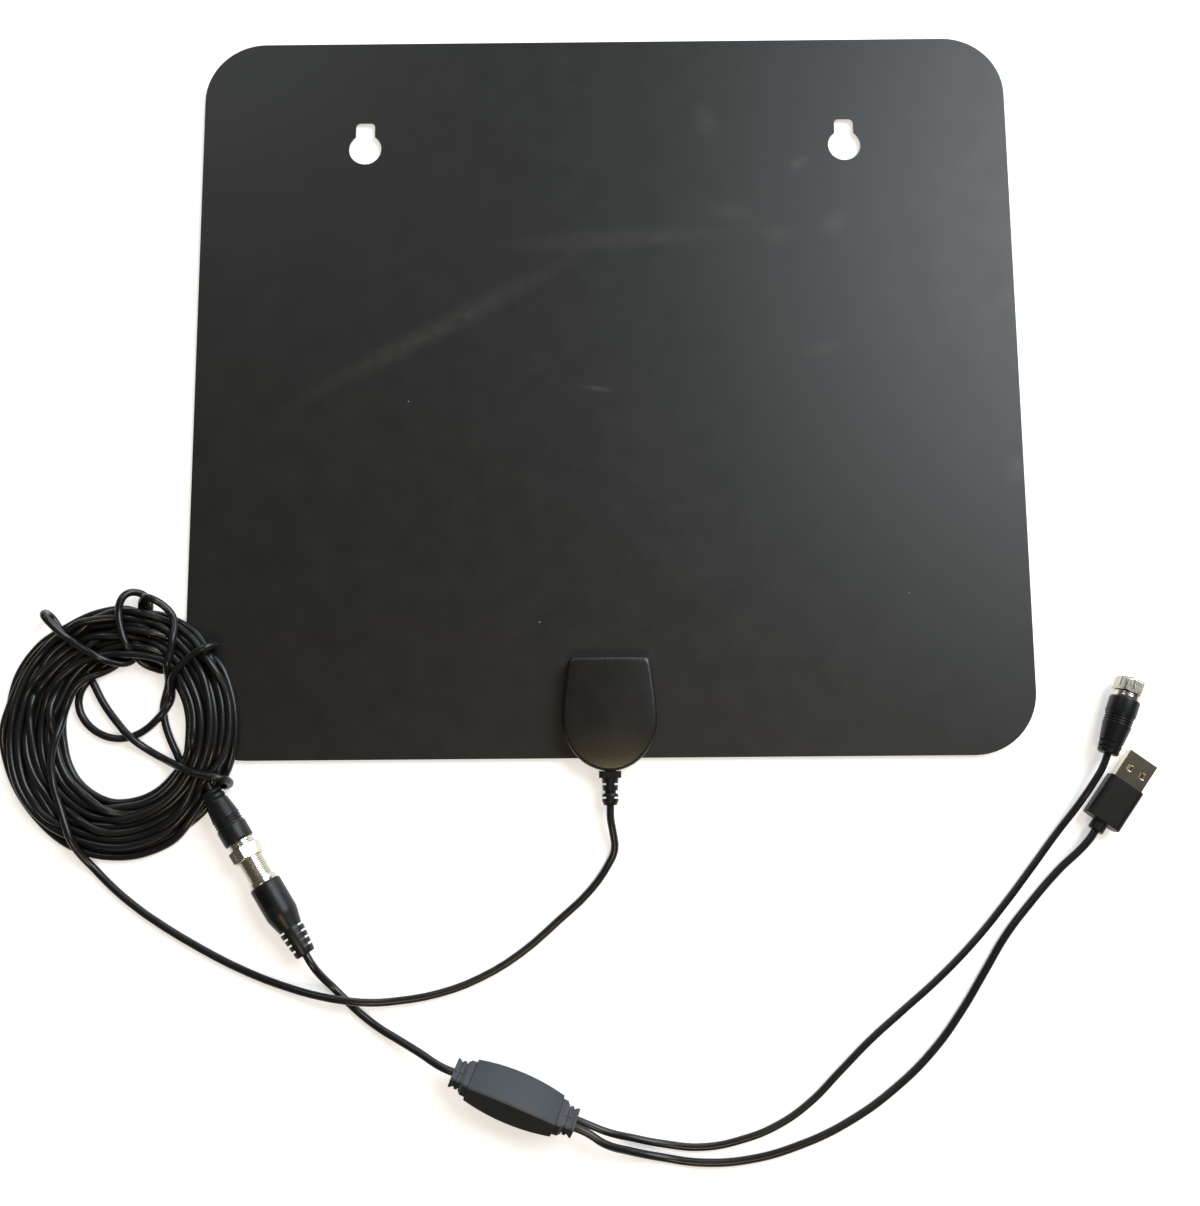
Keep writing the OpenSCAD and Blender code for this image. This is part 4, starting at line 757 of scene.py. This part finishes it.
def nut_form(name, place):
    """The nut as rings of points: a hexagon with round corners, cut by the turned chamfers."""
    steps, form, rings = 144, bmesh.new(), []
    bore = thread_r + thread_gap + thread_depth
    outside = [(0.0, corner_r - nut_rear_chamfer)]
    outside += [(nut_rear_chamfer / 2 * k / 4, corner_r - nut_rear_chamfer * (1 - k / 4))
                for k in range(1, 5)]
    rise = nut_l - nut_chamfer * 0.8
    outside += [(rise + (nut_l - rise) * k / 8, corner_r - nut_chamfer * k / 8) for k in range(9)]
    levels = [(nut_wall, bore, False), (nut_wall, neck_r + neck_gap, False), (0, neck_r + neck_gap, False)]
    levels += [(z, r, True) for z, r in outside]
    levels += [(nut_l, bore + mouth_edge, False), (nut_l - mouth_edge, bore, False)]
    for z, limit, hexagonal in levels:
        ring = []
        for k in range(steps):
            a = 2 * math.pi * k / steps
            from_flat = (a % (math.pi / 3)) - math.pi / 6
            r = min(limit, nut_flat_r / math.cos(from_flat), blunt_r) if hexagonal else limit
            ring.append(form.verts.new((r * math.cos(a), r * math.sin(a), nut_start + z)))
        rings.append(ring)
    for ring, above in zip(rings, rings[1:] + rings[:1]):
        for k in range(steps):
            form.faces.new((ring[k], ring[k - 1], above[k - 1], above[k]))
    bmesh.ops.recalc_face_normals(form, faces=form.faces)
    form.transform(place)
    form.from_mesh(thread(name + "_thread", bore, thread_pitch, thread_depth,
                          nut_l - nut_wall - thread_pitch,
                          place @ Matrix.Translation((0, 0, nut_start + nut_wall)), inward=True))
    mesh = bpy.data.meshes.new(name)
    form.to_mesh(mesh)
    form.free()
    piece = bpy.data.objects.new(name, mesh)
    bpy.context.scene.collection.objects.link(piece)
    return piece


nuts, nut_turns = {}, {"plug": 0.0, "output": math.radians(27)}
for name, (lie, _, nut) in plugs.items():
    form = nut_form(name + "_nut_plated", lie @ Matrix.Rotation(nut_turns[name], 4, "Z"))
    nuts[name] = finish_mesh(form, nut, nickel, [nut], 25)

# Socket. A threaded barrel, turned and plated like the plugs, with a round shoulder against its
# boot. A brass contact sits in a milky insulator inside the barrel.
barrel_l, shoulder_r, shoulder_l, barrel_wall = 0.0091, 0.0054, 0.0019, 0.0016
barrel_start, barrel_end = flange_end + nut_gap, nut_end + barrel_l
lead_in, land_l, thread_ends = 0.0003, 0.0005, 0.0004
shoulder_end = barrel_end + shoulder_l
bore_r, root_r = thread_r - barrel_wall, thread_r - thread_depth
plug_lie = plugs["plug"][0]
barrel = turned("socket_barrel_plated", [
    (bore_r, barrel_start), (root_r - mouth_edge, barrel_start), (root_r, barrel_start + lead_in),
    (root_r, barrel_end - 2 * lead_in), (thread_r, barrel_end - land_l), (thread_r, barrel_end),
    (shoulder_r, barrel_end), (shoulder_r, shoulder_end), (stem_r, shoulder_end),
    (stem_r, shoulder_end + stem_l), (bore_r, shoulder_end + stem_l)], plug_lie, turned_edge)
form = bmesh.new()
form.from_mesh(barrel.data)
form.from_mesh(thread("socket_thread", root_r, thread_pitch, thread_depth,
                      barrel_end - barrel_start - 2 * thread_ends - lead_in,
                      plug_lie @ Matrix.Translation((0, 0, barrel_start + thread_ends)), inward=False))
form.to_mesh(barrel.data)
form.free()
barrel = finish_mesh(barrel, "amplifier_side", nickel, ["socket_barrel"], 40)
dress("socket_insulator", milky)
dress("socket_contact", brass)

# Socket boot. Moulded over the barrel's stem and the pigtail: a smooth round body with a patch of
# grip grooves, a cone, and a strain relief cut into ribs that a web joins.
jack_r, jack_l, cone_l, cone_r = 0.00605, 0.0134, 0.0063, 0.0045
relief_l, relief_r, relief_end_r, relief_web = 0.0115, 0.0048, 0.00375, 0.0036
relief_slots, slot_w = 4, 0.0008
grooves, groove_in, groove_turn, groove_pitch = 9, 0.0022, math.radians(195), 0.00085
groove_w, groove_across, groove_depth = 0.00045, 0.0036, 0.0006
cone_start = shoulder_end + jack_l
cone_end, cone_edge = cone_start + cone_l, 0.0008
jack_boot = turned("socket_boot_moulding", [
    (0, shoulder_end + stem_l), (stem_r + seat, shoulder_end + stem_l), (stem_r + seat, shoulder_end),
    (jack_r - boot_edge, shoulder_end), (jack_r, shoulder_end + boot_edge), (jack_r, cone_start),
    (cone_r, cone_end), (relief_r, cone_end + slot_w), (relief_end_r, jack_end), (0, jack_end)],
    plug_lie, cone_edge)
relief_pitch = (relief_l - slot_w) / relief_slots
ribs = box_row(relief_slots, relief_pitch, (2 * jack_r, 2 * jack_r, slot_w))
patch = box_row(grooves, groove_pitch, (2 * groove_depth, groove_across, groove_w))
rows = [(ribs, plug_lie @ Matrix.Translation((0, side * (relief_web / 2 + jack_r), cone_end + slot_w / 2)))
        for side in (-1, 1)]
rows.append((patch, plug_lie @ Matrix.Rotation(groove_turn, 4, "Z")
             @ Matrix.Translation((jack_r, 0, shoulder_end + groove_in))))
cut(jack_boot, rows)
jack_boot = finish_mesh(jack_boot, "amplifier_side", boot_black, ["socket_boot"])

# Amplifier. Two moulded half shells, bellied along the middle and stepped at both ends, close on a
# small board with its metal can. Their black carries painted light: lighter and bluer on the wide faces as a
# painted sheen, darker on the sides as painted shade, lighter on the edges as a painted highlight.
# It lies on one edge, held by its three cables.
# One black moulding in lit and shaded copies: a painted sheen for the wide faces, painted shade for the
# sides, a painted highlight for the edges.
face_black_painted_sheen = black_moulding("amplifier_face_painted_sheen", (0.0175, 0.0212, 0.0265), 0.31, 1100, 0.00003, 0.33)
side_black_painted_shade = black_moulding("amplifier_side_painted_shade", (0.0035, 0.0035, 0.0038), 0.30, 1100, 0.00001, 0.06)
edge_black_painted_highlight = black_moulding("amplifier_edge_painted_highlight", (0.055, 0.058, 0.062), 0.36, 1100, 0.00003, 0.4)
tick_l, tick_w, tick_depth, tick_pitch, tick_in = 0.0013, 0.00025, 0.0006, 0.0019, 0.0009
tick_level, tick_off = amp_t / 2 - 0.0034, -0.0006
wide_face, narrow_side = 0.93, 0.3  # how far a face looks along the amplifier's thickness
amp_lie = (Matrix.Translation((amp_at[0], amp_at[1] + exit_at.y, amp_z)) @ Matrix.Rotation(amp_turn, 4, "Z")
           @ Matrix.Rotation(-amp_roll, 4, "X"))
amp_up = (amp_lie.to_3x3() @ Vector((0, 0, 1))).normalized()
ticks = box_row(2, tick_pitch, (2 * tick_depth, tick_w, tick_l))
lengthwise = Matrix.Rotation(math.pi / 2, 4, "Y")
for half, up in (("top", 1), ("bottom", -1)):
    rows = [(ticks, amp_lie @ Matrix.Translation((start, across, up * tick_level)) @ lengthwise)
            for start, across in (
                (-amp_end + tick_in, 2 * tick_off), (amp_end - tick_in - 2 * tick_pitch, tick_off))]
    shell = from_frame(f"amplifier_{half}_half", f"amplifier_{half}_shell", "amplifier_side",
                       face_black_painted_sheen, edge=0.00015, rows=rows)
    shell.data.materials.append(side_black_painted_shade)
    shell.data.materials.append(edge_black_painted_highlight)
    # Each face takes its copy by which way it faces: painted sheen on the wide faces, painted shade on the
    # sides, painted highlight on the edges between.
    for face in shell.data.polygons:
        facing = abs(face.normal.dot(amp_up))
        face.material_index = 0 if facing > wide_face else 1 if facing <= narrow_side else 2
dress("amplifier_board", black_moulding("amplifier_laminate", (0.03, 0.16, 0.06), 0.4, 900, 0.00002))
dress("amplifier_can", metal("tinned_can", (0.62, 0.62, 0.62), 0.3, (1, 6, 1)))

# Power plug. A soft-edged black grip is moulded round a folded steel shell, nickel plated, with two
# windows on each side. The shell holds a white tongue with four gilt contacts.
grip_black = black_moulding("grip_moulding", (0.0090, 0.0090, 0.0080), 0.42, 1200, 0.00004, 0.22)
grip = from_frame("power_grip", "power_plug_grip", "amplifier_side", grip_black, edge=0.0004, steps=3)
shell_plate = metal("shell_plate", (0.66, 0.59, 0.47), 0.13, (1, 1, 1), 0.02)
power_shell = from_frame("power_shell", "power_plug_shell", "amplifier_side", shell_plate,
                         edge=0.0002)
dress("power_plug_tongue", black_moulding("white_tongue", (0.75, 0.74, 0.70), 0.4, 1500, 0.00001))
dress("power_plug_contacts", metal("gilt_contacts", (0.80, 0.60, 0.22), 0.2, (1, 1, 1)))

# Floor and light. A pale floor that stays white to the camera and in reflections, and soft lamps: a
# window at the right, a bright wall behind it, a smaller window at the left and a warm room light.
floor_mesh = bpy.data.meshes.new("floor")
floor_mesh.from_pydata([(-3, -3, 0), (3, -3, 0), (3, 3, 0), (-3, 3, 0)], [], [(0, 1, 2, 3)])
floor = bpy.data.objects.new("floor", floor_mesh)
bpy.context.scene.collection.objects.link(floor)
pale = bpy.data.materials.new("pale floor")
pale.use_nodes = True
nodes, links = pale.node_tree.nodes, pale.node_tree.links
ground = nodes["Principled BSDF"]
ground.inputs["Base Color"].default_value = (0.88, 0.88, 0.88, 1)
ground.inputs["Roughness"].default_value = 0.9
ground.inputs["Specular IOR Level"].default_value = 0.0
ground.inputs["Emission Color"].default_value = (1, 1, 1, 1)
seen = nodes.new("ShaderNodeLightPath")
either = nodes.new("ShaderNodeMath")
either.operation = "MAXIMUM"
links.new(seen.outputs["Is Camera Ray"], either.inputs[0])
links.new(seen.outputs["Is Glossy Ray"], either.inputs[1])
level = nodes.new("ShaderNodeMath")
level.operation = "MULTIPLY"
level.inputs[1].default_value = 0.5
links.new(either.outputs["Value"], level.inputs[0])
links.new(level.outputs["Value"], ground.inputs["Emission Strength"])
floor_mesh.materials.append(pale)
world = bpy.data.worlds.new("world")
bpy.context.scene.world = world
world.use_nodes = True
world.node_tree.nodes["Background"].inputs["Color"].default_value = (1.0, 0.97, 0.90, 1)
world.node_tree.nodes["Background"].inputs["Strength"].default_value = 0.11


def lamp(name, place, aim, size, watts, tint):
    """A rectangular lamp that shines from its place towards its aim."""
    data = bpy.data.lights.new(name, "AREA")
    data.shape = "RECTANGLE"
    data.size, data.size_y = size
    data.energy = watts
    data.color = tint
    light = bpy.data.objects.new(name, data)
    light.location = place
    light.rotation_euler = (Vector(aim) - Vector(place)).to_track_quat("-Z", "Y").to_euler()
    bpy.context.scene.collection.objects.link(light)


lamp("window", (1.05, 0.75, 1.25), (0.1, 0.1, 0.0), (1.0, 1.2), 32, (0.88, 0.95, 1.0))
lamp("far wall", (0.70, 1.45, 0.35), (0.0, 0.0, 0.0), (1.8, 0.5), 16, (0.82, 0.92, 1.0))
lamp("left window", (-0.80, 1.25, 1.25), (0.0, 0.0, 0.0), (0.6, 0.6), 4, (0.92, 0.97, 1.0))
lamp("room", (0.05, -0.74, 1.20), (0.0, -0.1, 0.0), (0.30, 0.26), 4.5, (1.0, 0.74, 0.42))
